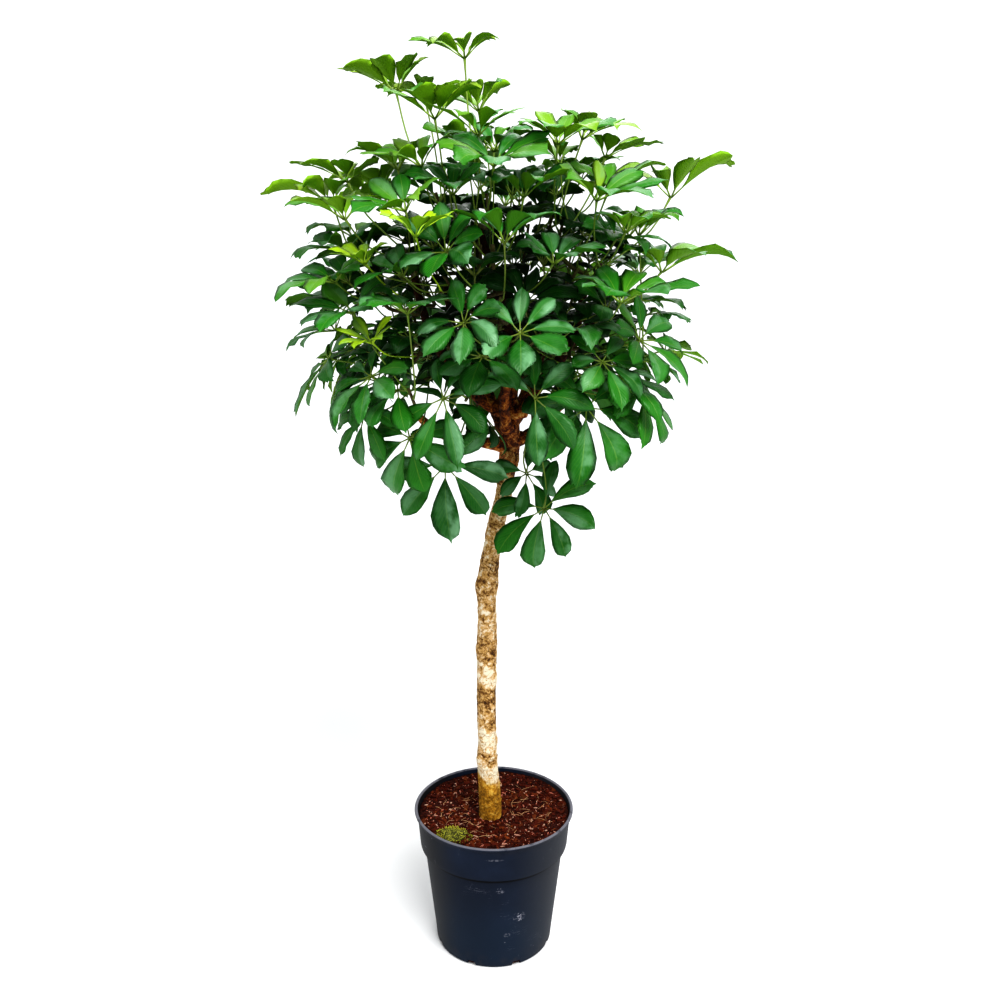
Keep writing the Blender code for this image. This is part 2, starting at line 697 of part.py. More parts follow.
def make_pot(finish):
    pot = add_object("pot", turned_solid(pot_profile(), POT_SIDES), finish, math.radians(35))
    cutters = bmesh.new()
    for index in range(DRAIN_HOLES):
        bearing = math.tau * (index + 0.5) / DRAIN_HOLES
        made = bmesh.ops.create_cube(cutters, size=1.0)["verts"]
        bmesh.ops.scale(cutters, verts=made, vec=DRAIN_HOLE)
        bmesh.ops.translate(cutters, verts=made, vec=(BASE_RADIUS, 0.0, 0.0))
        turn = Vector((1, 0, 0)).rotation_difference(Vector((math.cos(bearing), math.sin(bearing), 0)))
        bmesh.ops.rotate(cutters, verts=made, matrix=turn.to_matrix(), cent=(0, 0, 0))
    cutter = add_object("drain_cutter", cutters, finish)
    cutter.hide_render = True
    cutter.display_type = "WIRE"
    cut = pot.modifiers.new("drain_holes", "BOOLEAN")
    cut.operation = "DIFFERENCE"
    cut.object = cutter


def make_potting_mix(finish):
    """The mix lies higher at the wall than round the trunk, whose foot stands in a dry well."""
    bm = bmesh.new()
    step = POT_HEIGHT - COLLAR_HEIGHT
    well = TRUNK_LINE[0][2] / 2 + 0.001
    soil_edge = RIM_RADIUS - COLLAR_WALL - 0.0005 - GAP
    well_floor = TRUNK_LINE[0][1] - GAP
    outline = (
        (BASE_RADIUS - POT_WALL - 0.0045, POT_FLOOR + GAP, 0.0),
        (inner_radius(POT_FLOOR + 0.004) - GAP, POT_FLOOR + 0.0045, 0.0),
        (inner_radius(step) - 2 * GAP, step, 0.0),
        (RIM_RADIUS - COLLAR_WALL - 0.0045 - 2 * GAP, step + 0.0040, 0.0),
        (soil_edge, SOIL_LEVEL, 0.0),
        (0.085, SOIL_LEVEL - 0.0012, 0.3),
        (0.050, SOIL_LEVEL - 0.0050, 0.7),
        (well + 0.006, SOIL_LEVEL - SOIL_DISH, 1.0),
        (well, SOIL_LEVEL - SOIL_DISH - 0.0005, 1.0),
        (well, well_floor, 1.0),
    )
    side = Vector((1, 0, 0))
    cap = start_cap(bm, Vector((0, 0, outline[0][1])), UP, outline[0][0], POT_SIDES, side)
    for radius, height, lean in outline[1:]:
        centre = Vector((STEM_PLACE.x * lean, STEM_PLACE.y * lean, height))
        cap = extend(bm, cap, centre, UP, radius, side)
    close_foot(bm)
    return add_object("potting_mix", bm, finish)


def make_moss(finish):
    """A thin cushion of moss on the slope of the mix, front left."""
    bm = bmesh.new()
    bmesh.ops.create_uvsphere(bm, u_segments=14, v_segments=6, radius=1.0)
    for corner in bm.verts:
        bearing = math.atan2(corner.co.y, corner.co.x)
        wave = 1.0 + 0.16 * math.sin(3 * bearing + 0.5) + 0.08 * math.sin(5 * bearing)
        corner.co.x *= MOSS_REACH[0] * wave
        corner.co.y *= MOSS_REACH[1] * wave
        corner.co.z = max(corner.co.z, -0.15) * MOSS_REACH[2]
    place = Vector((*MOSS_PLACE, SOIL_LEVEL - 0.0010))
    slope = Matrix.Rotation(math.radians(MOSS_TILT), 3, Vector((*MOSS_PLACE, 0.0)).cross(UP))
    bmesh.ops.rotate(bm, verts=bm.verts, matrix=slope, cent=(0, 0, 0))
    bmesh.ops.translate(bm, verts=bm.verts, vec=place)
    return add_object("moss", bm, finish)


def make_trunk(finish, room):
    points = [Vector((across, 0.0, height)) for across, height, _ in TRUNK_LINE]
    radii = [diameter / 2 for _, _, diameter in TRUNK_LINE]
    bm = bmesh.new()
    grow_tube(bm, points, radii, TRUNK_SIDES, first=UP)
    room.add_bmesh(bm)
    add_object("trunk", bm, finish, math.radians(60))
    return Limb(points, radii[0], radii[-1])


def upper_trunk():
    """The stretch of trunk below the fork, which carries a shoot of its own."""
    stretch = TRUNK_LINE[13:17]
    points = [Vector((across, 0.0, height)) for across, height, _ in stretch]
    return Limb(points, stretch[0][2] / 2 + 2 * GAP, stretch[-1][2] / 2 + 2 * GAP)


def trunk_radius(height):
    """Half the trunk's diameter at a height."""
    for (_, low, wide), (_, high, narrow) in zip(TRUNK_LINE, TRUNK_LINE[1:]):
        if low <= height <= high:
            share = (height - low) / (high - low)
            return (wide + (narrow - wide) * share) / 2
    return TRUNK_LINE[-1][2] / 2


def make_limb(name, foot_radius, end_radius, route, finish, room):
    """A branch that leaves the trunk's side squarely, or carries on from the trunk's end."""
    points = [Vector(point) for point in route]
    from_side = points[0].z < TRUNK_LINE[-1][1]
    if from_side:
        outward = square_to(points[1] - points[0], UP)
        reach = trunk_radius(points[0].z) + 4 * GAP
        points[0] = points[0] + outward * reach
        points.insert(1, points[0] + outward * 0.006 + UP * 0.001)
    else:
        outward = (Vector((TRUNK_LINE[-1][0], 0, TRUNK_LINE[-1][1]))
                   - Vector((TRUNK_LINE[-2][0], 0, TRUNK_LINE[-2][1]))).normalized()
        points[0] = points[0] + outward * GAP
    route = smooth_route(points, 2)
    if from_side:
        # The short stretch square to the trunk stays straight, with its rings evenly spaced
        route[1] = (route[0] + route[2]) / 2
    limb = Limb(route, foot_radius, end_radius)
    bm = bmesh.new()
    grow_tube(bm, route, limb.radii, LIMB_SIDES, first=outward)
    if not room.is_free([corner.co.copy() for corner in bm.verts], face_lists(bm)):
        raise ValueError(f"{name} runs into the wood before it")
    room.add_bmesh(bm)
    add_object(name, bm, finish, math.radians(60))
    return limb


def face_lists(bm):
    bm.verts.index_update()
    return [[corner.index for corner in face.verts] for face in bm.faces]


# ---------------------------------------------------------------- the whole plant

def keep_fork_open(room):
    """The crown is open in front of the fork: nothing grows across it."""
    for near, far in (((0.019, -0.070, 0.858), (0.017, -0.270, 0.895)),
                      ((0.022, -0.060, 0.800), (0.019, -0.270, 0.840))):
        room.add(*tube_shape([Vector(near), Vector(far)], [0.014, 0.014], 0.0))


def grow_front(room, limbs, leaf_finish, young_finish, whim):
    keep_fork_open(room)
    hubs = []
    for name, leaf in YOUNG_LEAVES:
        young = Leaf(leaf[:3], leaf[3], whim, *leaf[4:], YOUNG_RISE)
        bm, taken = plan_shoot(room, limbs, [young], whim, 3, 40)
        if bm is None:
            continue
        hubs += [leaf.hub for leaf in taken]
        add_object(name, bm, young_finish)
    for name, leaves in FRONT_SHOOTS:
        plans = [Leaf(leaf[:3], leaf[3], whim, *leaf[4:]) for leaf in leaves]
        bm, taken = plan_shoot(room, limbs, plans, whim, 3, 40)
        if bm is None:
            continue
        hubs += [leaf.hub for leaf in taken]
        add_object(name, bm, leaf_finish)
    return hubs


def grow_rest(room, limbs, finish, whim, hubs):
    leaves = []
    for scale, spacing, size in SHELLS:
        found = spiral_hubs(scale, spacing, hubs)
        hubs = hubs + found
        leaves += [Leaf(hub, size * whim.uniform(0.9, 1.1), whim) for hub in found]
    counts = {}
    for group in group_leaves(leaves, FILL_NODES):
        middle = sum((leaf.hub for leaf in group), Vector()) / len(group)
        bm, taken = plan_shoot(room, limbs, group, whim, 4, 48)
        if bm is None:
            continue
        place = side_name(middle)
        counts[place] = counts.get(place, 0) + 1
        add_object(f"shoot_{place}_{counts[place]}", bm, finish)


def main():
    clear_scene()
    whim = random.Random(11)
    room = Room()
    bark = material("bark", (0.46, 0.32, 0.17), 0.85)
    limb_bark = material("limb_bark", (0.24, 0.11, 0.05), 0.85)
    leaf = material("leaf", (0.03, 0.16, 0.03), 0.35)
    young = material("young_leaf", (0.30, 0.45, 0.03), 0.40)
    make_pot(material("pot_plastic", (0.022, 0.026, 0.040), 0.45))
    make_potting_mix(material("potting_mix", (0.10, 0.035, 0.018), 0.95))
    make_moss(material("moss", (0.18, 0.20, 0.02), 0.95))
    make_trunk(bark, room)
    limbs = [make_limb(*limb, limb_bark, room) for limb in LIMBS]
    hubs = grow_front(room, limbs + [upper_trunk()], leaf, young, whim)
    grow_rest(room, limbs, leaf, whim, hubs)


main()
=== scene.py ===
"""Finished looks for a potted umbrella plant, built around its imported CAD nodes.

Every piece is in metres in the CAD frame: origin at the middle of the pot's underside, +Z up and
-Y to the front. Each shoot is grown again on the hubs, stalks and tips of its CAD node, so the
leaves lie where the collision solids are.
"""
import math
import random

import bmesh
import bpy
from bpy.props import FloatProperty, FloatVectorProperty, IntProperty, PointerProperty
from mathutils import Matrix, Vector, noise


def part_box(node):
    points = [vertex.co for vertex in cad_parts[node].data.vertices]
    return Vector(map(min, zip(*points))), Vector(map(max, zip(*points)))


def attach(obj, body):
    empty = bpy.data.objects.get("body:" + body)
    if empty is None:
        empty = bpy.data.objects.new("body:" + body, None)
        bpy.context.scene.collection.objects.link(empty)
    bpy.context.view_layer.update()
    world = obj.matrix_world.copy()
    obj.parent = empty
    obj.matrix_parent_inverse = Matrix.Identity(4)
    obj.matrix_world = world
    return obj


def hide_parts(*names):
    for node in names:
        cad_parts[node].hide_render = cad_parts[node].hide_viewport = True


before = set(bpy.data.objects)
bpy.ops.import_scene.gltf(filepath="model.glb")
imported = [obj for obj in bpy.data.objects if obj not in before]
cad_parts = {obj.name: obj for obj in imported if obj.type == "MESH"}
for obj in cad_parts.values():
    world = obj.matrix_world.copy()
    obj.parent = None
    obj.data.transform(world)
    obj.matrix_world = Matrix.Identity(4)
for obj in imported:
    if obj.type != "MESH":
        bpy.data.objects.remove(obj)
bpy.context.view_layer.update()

bl_info = {
    "name": "Potted umbrella plant",
    "version": (1, 0, 0),
    "blender": (4, 5, 0),
    "location": "View3D > Sidebar > Plant",
    "description": "Builds a potted umbrella plant piece by piece on its CAD frame",
    "category": "Add Mesh",
}

UP = Vector((0.0, 0.0, 1.0))
# The CAD's shoots: how far the corners and the side faces of a leaf's hub stand from its middle,
# where along a leaflet it is widest, the length that every edge at a leaflet's tip is over, how
# near to each other the hubs read off one leaf's leaflets are, and how far apart the corners of
# one twig ring can lie.
HUB_REACH = 0.00434
HUB_APOTHEM = 0.00388
WIDEST_AT = 0.58
TIP_EDGE = 0.008
SAME_HUB = 0.003
RING_SPREAD = 0.0064
TRUNK_SIDES = 12
# How far a twig and a limb run on into the wood that carries them.
TWIG_RUN_IN = 0.006
LIMB_RUN_IN = 0.011
# How deep a leaf sits, and so its painted shade, is told from an egg in the crown: its height, half
# width and half height.
CROWN_MIDDLE = 0.985
CROWN_WIDE = 0.235
CROWN_TALL = 0.225
# Leaves are painted lighter over this stretch of height and this far to the sides, and the low ones
# duller: partly the leaves' own colour, partly painted light and shade on the crown.
LIGHT_FROM, LIGHT_SPAN = 1.00, 0.24
SIDE_SPAN = 0.20
LOW_LEAVES = 0.93
# The pot: how far the foot and the top of the wall stand in from the rim, and its drain notches.
FOOT_INSET = 0.0320
WALL_INSET = 0.0150
NOTCHES = 8
NOTCH_SIZE = (0.024, 0.013, 0.016)
# On the mix: how far the trunk stands to the left, then how far from the pot's middle each thing
# lies at most, and how far from the trunk's middle at least.
TRUNK_LEFT = 0.005
CRUMB_REACH, CRUMB_CLEAR = 0.1095, 0.018
FIBRE_REACH, FIBRE_CLEAR = 0.092, 0.030
FIBRE_END_REACH, FIBRE_END_CLEAR = 0.108, 0.020
# How many corners the small copies gather to before they go into the large mesh.
HANDFUL = 1200


# ---- settings ----

def colour(name, description, default):
    """A setting that is a colour."""
    return FloatVectorProperty(name=name, description=description, default=default,
                               subtype="COLOR", size=3, min=0.0, max=1.0)


def length(name, description, default):
    """A setting in metres."""
    return FloatProperty(name=name, description=description, default=default, min=0.0,
                         subtype="DISTANCE", unit="LENGTH")


def share(name, description, default, most=1.0):
    """A setting that is a share of something."""
    return FloatProperty(name=name, description=description, default=default, min=0.0, max=most,
                         subtype="FACTOR")


def count(name, description, default, least=0):
    """A setting that is a number of things."""
    return IntProperty(name=name, description=description, default=default, min=least)


class PotSettings(bpy.types.PropertyGroup):
    """The pot's plastic and rim"""
    plastic: colour("Plastic", "Colour of the moulded plastic", (0.0075, 0.0125, 0.0255))
    # Worn also colours the painted highlight along the rim top.
    worn: colour("Worn edge", "Colour of the rubbed rim and of scuffs", (0.17, 0.17, 0.195))
    dust: colour("Dust", "Colour of dried soil on the wall", (0.075, 0.055, 0.045))
    rim_bead: length("Rim bead", "Radius of the rolled edge of the rim", 0.0024)
    collar: length("Collar", "Height of the collar under the rim", 0.060)
    steps: count("Steps", "Sides of the turned wall", 128, 24)


class MixSettings(bpy.types.PropertyGroup):
    """The potting mix and what lies on it"""
    peat: colour("Peat", "Colour of the moist mix", (0.052, 0.0070, 0.0017))
    bark: colour("Bark bits", "Colour of the brightest bits of bark", (0.20, 0.050, 0.009))
    grain: colour("Grains", "Colour of the palest grains", (0.46, 0.30, 0.22))
    fibre: colour("Fibres", "Colour of the dry fibres", (0.50, 0.30, 0.15))
    relief: length("Relief", "Depth of the lumps in the surface", 0.0022)
    crumbs: count("Crumbs", "Number of crumbs", 2400)
    grains: count("Grains", "Number of pale grains", 950)
    fibres: count("Fibres", "Dry fibres, less any that would end off the mix", 60)


class MossSettings(bpy.types.PropertyGroup):
    """The patch of moss"""
    dark: colour("Dark", "Colour deep in the cushion", (0.026, 0.026, 0.004))
    bright: colour("Bright", "Colour of the tips", (0.40, 0.40, 0.05))
    sprigs: count("Sprigs", "Number of sprigs", 880)


class WoodSettings(bpy.types.PropertyGroup):
    """The bark of the trunk and the limbs"""
    tan: colour("Tan", "Main colour of the trunk's bark", (0.46, 0.280, 0.088))
    brown: colour("Brown", "Colour of scars and pits", (0.150, 0.064, 0.012))
    cream: colour("Cream", "Colour of flaked patches", (0.74, 0.66, 0.50))
    ochre: colour("Ochre", "Colour of the trunk's foot", (0.42, 0.205, 0.014))
    red: colour("Red brown", "Colour of the limbs", (0.150, 0.036, 0.009))
    relief: length("Relief", "Depth of the bark's ridges and flakes", 0.0011)


class LeafSettings(bpy.types.PropertyGroup):
    """The leaves, stalks and twigs"""
    # Deep, middle and light are one lightness ramp that carries painted light and shade in the crown as
    # well as the leaves' own colour.
    deep: colour("Deep", "Colour of old leaves low in the crown", (0.0100, 0.084, 0.0080))
    middle: colour("Middle", "Colour of most leaves", (0.0260, 0.168, 0.0140))
    light: colour("Light", "Colour of leaves in the light", (0.155, 0.330, 0.020))
    ripe: colour("Yellowed", "Colour of the sunned leaves at the top", (0.230, 0.330, 0.012))
    young: colour("Young", "Colour of leaves that have just opened", (0.38, 0.56, 0.020))
    under: colour("Underside", "Colour of an old leaf's underside", (0.050, 0.20, 0.012))
    glow: colour("Lit underside", "Colour of an underside with light through it", (0.220, 0.430, 0.012))
    # Painted reflection: the pale sheen of sky on old leaves, laid on as colour.
    painted_sheen: colour("Bloom", "Colour of the pale bloom on old leaves", (0.170, 0.34, 0.185))
    stalk: colour("Stalks", "Colour of the stalks of leaves and leaflets", (0.20, 0.30, 0.035))
    rib: colour("Midribs", "Colour of the midribs", (0.27, 0.42, 0.07))
    twig: colour("Twigs", "Colour of the twigs", (0.10, 0.085, 0.022))
    thickness: length("Thickness", "Thickness of a blade at its midrib", 0.0007)
    stalk_share: share("Leaflet stalk", "Share of a leaflet that is bare stalk", 0.15)
    breadth: share("Breadth", "Breadth of a usual blade beside its CAD solid", 1.10, 2.0)


def power(name, description, default):
    """A setting without an upper limit."""
    return FloatProperty(name=name, description=description, default=default, min=0.0)


class StageSettings(bpy.types.PropertyGroup):
    """The floor, the backdrop and the lamps"""
    floor: colour("Floor", "Colour of the floor", (0.83, 0.83, 0.83))
    sky: colour("Backdrop", "Colour of the light all round", (0.97, 0.985, 1.0))
    sky_strength: power("Backdrop strength", "How bright the backdrop is", 0.90)
    fill_share: share("Soft light", "Share of the backdrop's strength that lights the plant", 0.64)
    lamp_power: power("Lamp power", "Power of the main lamp in watts", 125.0)


# ---- shader expressions ----

class Wire:
    """A shader socket that works in Python expressions; each operator adds its Math node."""

    def __init__(self, tree, socket=None):
        self.tree = tree
        self.socket = socket

    def node(self, kind, settings=None, inputs=None, output=0):
        """Any node: its type, its settings, then the values or links of its sockets."""
        made = self.tree.nodes.new(kind)
        for name, value in (settings or {}).items():
            if name == "stops":
                set_stops(made.color_ramp, value)
            else:
                setattr(made, name, value)
        for name, value in (inputs or {}).items():
            if isinstance(value, Wire):
                self.tree.links.new(value.socket, made.inputs[name])
            else:
                made.inputs[name].default_value = value
        return Wire(self.tree, made.outputs[output])

    def math(self, operation, first, second):
        return self.node("ShaderNodeMath", {"operation": operation}, {0: first, 1: second})

    def __add__(self, other):
        return self.math("ADD", self, other)

    def __radd__(self, other):
        return self.math("ADD", other, self)

    def __sub__(self, other):
        return self.math("SUBTRACT", self, other)

    def __rsub__(self, other):
        return self.math("SUBTRACT", other, self)

    def __mul__(self, other):
        return self.math("MULTIPLY", self, other)

    def __rmul__(self, other):
        return self.math("MULTIPLY", other, self)

    def __truediv__(self, other):
        return self.math("DIVIDE", self, other)

    def __pow__(self, other):
        return self.math("POWER", self, other)

    def __abs__(self):
        return self.math("ABSOLUTE", self, 0.0)

    def sine(self):
        return self.math("SINE", self, 0.0)

    def highest(self, other):
        return self.math("MAXIMUM", self, other)

    def rise(self, low, high):
        """0 below low, 1 above high and a smooth step between; the other way if low > high."""
        return self.node("ShaderNodeMapRange", {"interpolation_type": "SMOOTHSTEP"},
                         {"Value": self, "From Min": low, "From Max": high})

    def band(self, middle, reach, soft):
        """1 within reach of a value, fading to 0 over soft."""
        return abs(self - middle).rise(reach + soft, reach)

    def part(self, output):
        """Another output of the same node."""
        return Wire(self.tree, self.socket.node.outputs[output])


def set_stops(ramp, stops):
    """Give a colour ramp its places and colours."""
    while len(ramp.elements) < len(stops):
        ramp.elements.new(1.0)
    for element, (place, tone) in zip(ramp.elements, stops):
        element.position = place
        element.color = (*tone, 1.0)


class Paint(Wire):
    """A new material with one Principled shader, and the patterns it can use."""

    def __init__(self, name):
        self.material = bpy.data.materials.new(name)
        self.material.use_nodes = True
        super().__init__(self.material.node_tree)
        self.shader = self.tree.nodes["Principled BSDF"]
        self.place = self.node("ShaderNodeTexCoord", output="Object")

    def set(self, **sockets):
        """Values and links of the shader's own sockets, with spaces written as underscores."""
        for name, value in sockets.items():
            socket = self.shader.inputs[name.replace("_", " ")]
            if isinstance(value, Wire):
                self.tree.links.new(value.socket, socket)
            elif isinstance(value, float):
                socket.default_value = value
            else:
                socket.default_value = (*value, 1.0)
        return self.material

    def mix(self, first, second, factor, blend="MIX"):
        """Colour from first to second."""
        first, second = (tone if isinstance(tone, Wire) else (*tone, 1.0) for tone in (first, second))
        return self.node("ShaderNodeMix", {"data_type": "RGBA", "blend_type": blend},
                         {0: factor, 6: first, 7: second}, output=2)

    def coat(self, tone, *coats):
        """Colours laid over a first one in turn, each at its own share."""
        for over, part in coats:
            tone = self.mix(tone, over, part)
        return tone

    def finish(self, tone, rough, relief, shine=0.5):
        """The material, once its colour, roughness, relief and specular level are set."""
        return self.set(Base_Color=tone, Roughness=rough, Normal=self.bump(*relief),
                        Specular_IOR_Level=shine)

    def stretched(self, across, deep, high):
        """Object coordinates stretched along each axis."""
        return self.node("ShaderNodeMapping", inputs={"Vector": self.place,
                                                      "Scale": (across, deep, high)})

    def axis(self, name, vector=None):
        """One coordinate of a place."""
        return self.node("ShaderNodeSeparateXYZ", inputs={0: vector or self.place}, output=name)

    def noise(self, scale, detail, rough=0.55, vector=None, bend=0.0):
        inputs = {"Vector": vector or self.place, "Scale": scale, "Detail": detail,
                  "Roughness": rough, "Distortion": bend}
        return self.node("ShaderNodeTexNoise", inputs=inputs)

    def cells(self, scale, feature="F1", vector=None):
        return self.node("ShaderNodeTexVoronoi", {"feature": feature},
                         {"Vector": vector or self.place, "Scale": scale, "Randomness": 1.0})

    def warped(self, scale, reach):
        """Object coordinates pushed about by noise, so that cells lose their straight edges."""
        push = self.noise(scale, 3.0).part("Color")
        return self.node("ShaderNodeVectorMath", {"operation": "MULTIPLY_ADD"},
                         {0: push, 1: (reach, reach, reach), 2: self.place})

    def ramp(self, value, stops):
        """A colour for each stretch of a value from 0 to 1."""
        return self.node("ShaderNodeValToRGB", {"stops": stops}, {0: value})

    def bump(self, height, distance, strength):
        """Relief whose full height is a distance in metres."""
        return self.node("ShaderNodeBump", inputs={"Height": height, "Distance": distance,
                                                   "Strength": strength})

    def tint(self):
        """The first of the three shares that each corner carries; part(1) and part(2) follow."""
        carried = self.node("ShaderNodeAttribute", {"attribute_name": "tint"}, output="Color")
        return self.node("ShaderNodeSeparateColor", inputs={0: carried})


# ---- mesh helpers ----

def clamp(value):
    """A value held between 0 and 1."""
    return min(max(value, 0.0), 1.0)


def scaled(tone, factor):
    """A colour made lighter or darker."""
    return [value * factor for value in tone]


def as_mesh(bm, name):
    """Put a bmesh into a new mesh and free it."""
    mesh = bpy.data.meshes.new(name)
    bm.to_mesh(mesh)
    bm.free()
    return mesh


def linked(name, data):
    """A new object in the scene."""
    item = bpy.data.objects.new(name, data)
    bpy.context.scene.collection.objects.link(item)
    return item


def close_holes(bm):
    """Fill every opening with one face, and turn all faces outwards."""
    bmesh.ops.holes_fill(bm, edges=[edge for edge in bm.edges if edge.is_boundary], sides=0)
    bmesh.ops.recalc_face_normals(bm, faces=bm.faces)


def grain_at(place, across, high, shift=0.0):
    """Noise at a place on the wood, with one scale across the stem and another up it."""
    return noise.noise(Vector((place.x * across, place.y * across, place.z * high + shift)))


def finish_piece(name, bm, materials, node, smooth=True):
    """Turn a bmesh into a piece that stands for a CAD node, or beside one."""
    mesh = as_mesh(bm, name)
    for made in materials:
        mesh.materials.append(made)
    if smooth:
        mesh.shade_smooth()
    piece = linked(name, mesh)
    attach(piece, "root")
    if node:
        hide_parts(node)
    return piece


def cad_copy(node):
    """A CAD node's mesh with its loose triangles joined up."""
    bm = bmesh.new()
    bm.from_mesh(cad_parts[node].data)
    bmesh.ops.remove_doubles(bm, verts=bm.verts, dist=0.00001)
    bm.verts.ensure_lookup_table()
    bm.verts.index_update()
    return bm


def middle_of(corners):
    """The mean place of some corners, added up in the same order on each run."""
    corners = sorted(corners, key=lambda corner: corner.index)
    return sum((corner.co for corner in corners), Vector()) / len(corners)


def square_to(vector, direction):
    """The part of a vector that is square to a direction, at unit length."""
    across = vector - direction * vector.dot(direction)
    if across.length < 1e-6:
        across = direction.orthogonal()
    return across.normalized()


class Route:
    """A smooth line through points, with a frame that doesn't twist."""

    def __init__(self, points, fineness):
        ends = [2 * points[0] - points[1]] + list(points) + [2 * points[-1] - points[-2]]
        self.points = []
        for a, b, c, d in zip(ends, ends[1:], ends[2:], ends[3:]):
            for step in range(fineness):
                t = step / fineness
                self.points.append(0.5 * (2 * b + (c - a) * t + (2 * a - 5 * b + 4 * c - d) * t * t
                                          + (3 * b - a - 3 * c + d) * t ** 3))
        self.points.append(points[-1].copy())
        self.lengths = [0.0]
        for before, after in zip(self.points, self.points[1:]):
            self.lengths.append(self.lengths[-1] + (after - before).length)
        self.total = self.lengths[-1]
        self.frames = []
        side = Vector((1.0, 0.2, 0.1))
        for index in range(len(self.points)):
            before = self.points[max(index - 1, 0)]
            after = self.points[min(index + 1, len(self.points) - 1)]
            way = (after - before).normalized()
            side = square_to(side, way)
            self.frames.append((way, side, way.cross(side)))

    def at(self, run):
        """Place, direction, side and other side, at a share of the length."""
        wanted = clamp(run) * self.total
        index = 0
        while index < len(self.points) - 2 and self.lengths[index + 1] < wanted:
            index += 1
        step = self.lengths[index + 1] - self.lengths[index]
        t = (wanted - self.lengths[index]) / step if step > 0 else 0.0
        place = self.points[index].lerp(self.points[index + 1], t)
        way, side, other = (self.frames[index][k].lerp(self.frames[index + 1][k], t).normalized()
                            for k in range(3))
        return place, way, side, other


def tube_skin(bm, route, around, along, radius):
    """A closed tube round a route. radius(turn, run, place) is the distance from its middle."""
    made = bmesh.ops.create_grid(bm, x_segments=around, y_segments=along, size=1.0)["verts"]
    frames = [route.at(step / along) for step in range(along + 1)]
    for corner in made:
        turn = (corner.co.x + 1.0) / 2.0
        step = round((corner.co.y + 1.0) / 2.0 * along)
        place, _, side, other = frames[step]
        angle = math.tau * turn
        out = math.cos(angle) * side + math.sin(angle) * other
        corner.co = place + out * radius(turn, step / along, place + out * 0.01)
    bmesh.ops.remove_doubles(bm, verts=made, dist=0.000002)
    close_holes(bm)


def rod_template(sides, rings):
    """A thin closed rod along +Y, one unit long and one unit in radius, to bend along a route."""
    bm = tinted_mesh()
    bmesh.ops.create_circle(bm, cap_ends=True, segments=sides, radius=1.0)
    bmesh.ops.rotate(bm, verts=bm.verts, matrix=Matrix.Rotation(math.pi / 2, 3, "X"), cent=(0, 0, 0))
    cap = next(iter(bm.faces))
    for _ in range(rings):
        cap = bmesh.ops.extrude_discrete_faces(bm, faces=[cap])["faces"][0]
        bmesh.ops.translate(bm, verts=cap.verts, vec=(0, 1.0 / rings, 0))
    close_holes(bm)
    uv = bm.loops.layers.uv["leaf"]
    for face in bm.faces:
        for loop in face.loops:
            loop[uv].uv = (0.5, loop.vert.co.y)
    return as_mesh(bm, "rod")


def add_copy(bm, template, slot, tint=None):
    """Append a template to a bmesh and return its new corners."""
    corners = len(bm.verts)
    faces = len(bm.faces)
    bm.from_mesh(template)
    bm.verts.ensure_lookup_table()
    bm.faces.ensure_lookup_table()
    for face in bm.faces[faces:]:
        face.material_index = slot
    made = bm.verts[corners:]
    if tint is not None:
        layer = bm.verts.layers.float_color["tint"]
        for corner in made:
            corner[layer] = (*tint, 1.0)
    return made


class Heap:
    """Gathers many small copies. They go into the large mesh a handful at a time, which is quick."""

    def __init__(self):
        self.whole = tinted_mesh()
        self.handful = tinted_mesh()

    def add(self, template, tint):
        if len(self.handful.verts) > HANDFUL:
            self.pour()
        return add_copy(self.handful, template, 0, tint)

    def pour(self):
        """Empty the handful into the whole, and return the whole."""
        mesh = as_mesh(self.handful, "handful")
        self.whole.from_mesh(mesh)
        bpy.data.meshes.remove(mesh)
        self.handful = tinted_mesh()
        return self.whole


def tinted_mesh():
    """An empty bmesh with the tint and the leaf pattern's UV map."""
    bm = bmesh.new()
    bm.loops.layers.uv.new("leaf")
    bm.verts.layers.float_color.new("tint")
    return bm


def add_rod(bm, template, route, radius, slot, tint):
    """Bend a rod along a route. radius(run) gives its radius."""
    frames = {}
    for corner in add_copy(bm, template, slot, tint):
        run = corner.co.y
        key = round(run * 1000)
        if key not in frames:
            frames[key] = (*route.at(run), radius(run))
        place, _, side, other, reach = frames[key]
        corner.co = place + reach * (corner.co.x * side + corner.co.z * other)


# ---- reading the CAD shoots ----

class Leaflet:
    """One leaflet's solid: its foot on the hub, its middle, its tip and its breadth."""

    def __init__(self, tip):
        around = [edge.other_vert(tip) for edge in tip.link_edges]
        spans = [(around[a].co - around[b].co).length for a, b in ((1, 2), (2, 0), (0, 1))]
        keel = around.pop(spans.index(max(spans)))
        left, right = around
        self.corners = {left, right, keel, tip}
        self.feet = {edge.other_vert(corner) for corner in (left, right, keel)
                     for edge in corner.link_edges} - self.corners
        self.middle = (left.co + right.co) / 2
        self.tip = tip.co.copy()
        self.foot = middle_of(self.feet)
        self.half = (left.co - right.co).length / 2
        way = (self.middle - self.foot).normalized()
        self.up = square_to(self.middle - keel.co, way)
        order = sorted(self.feet, key=lambda corner: (corner.co.dot(self.up), corner.index))
        self.hub_up = (middle_of(order[2:]) - middle_of(order[:2])).normalized()
        span = square_to(order[3].co - order[2].co, self.hub_up)
        out = span.cross(self.hub_up)
        if out.dot(way) < 0:
            out = -out
        self.hub = self.foot - out * HUB_APOTHEM


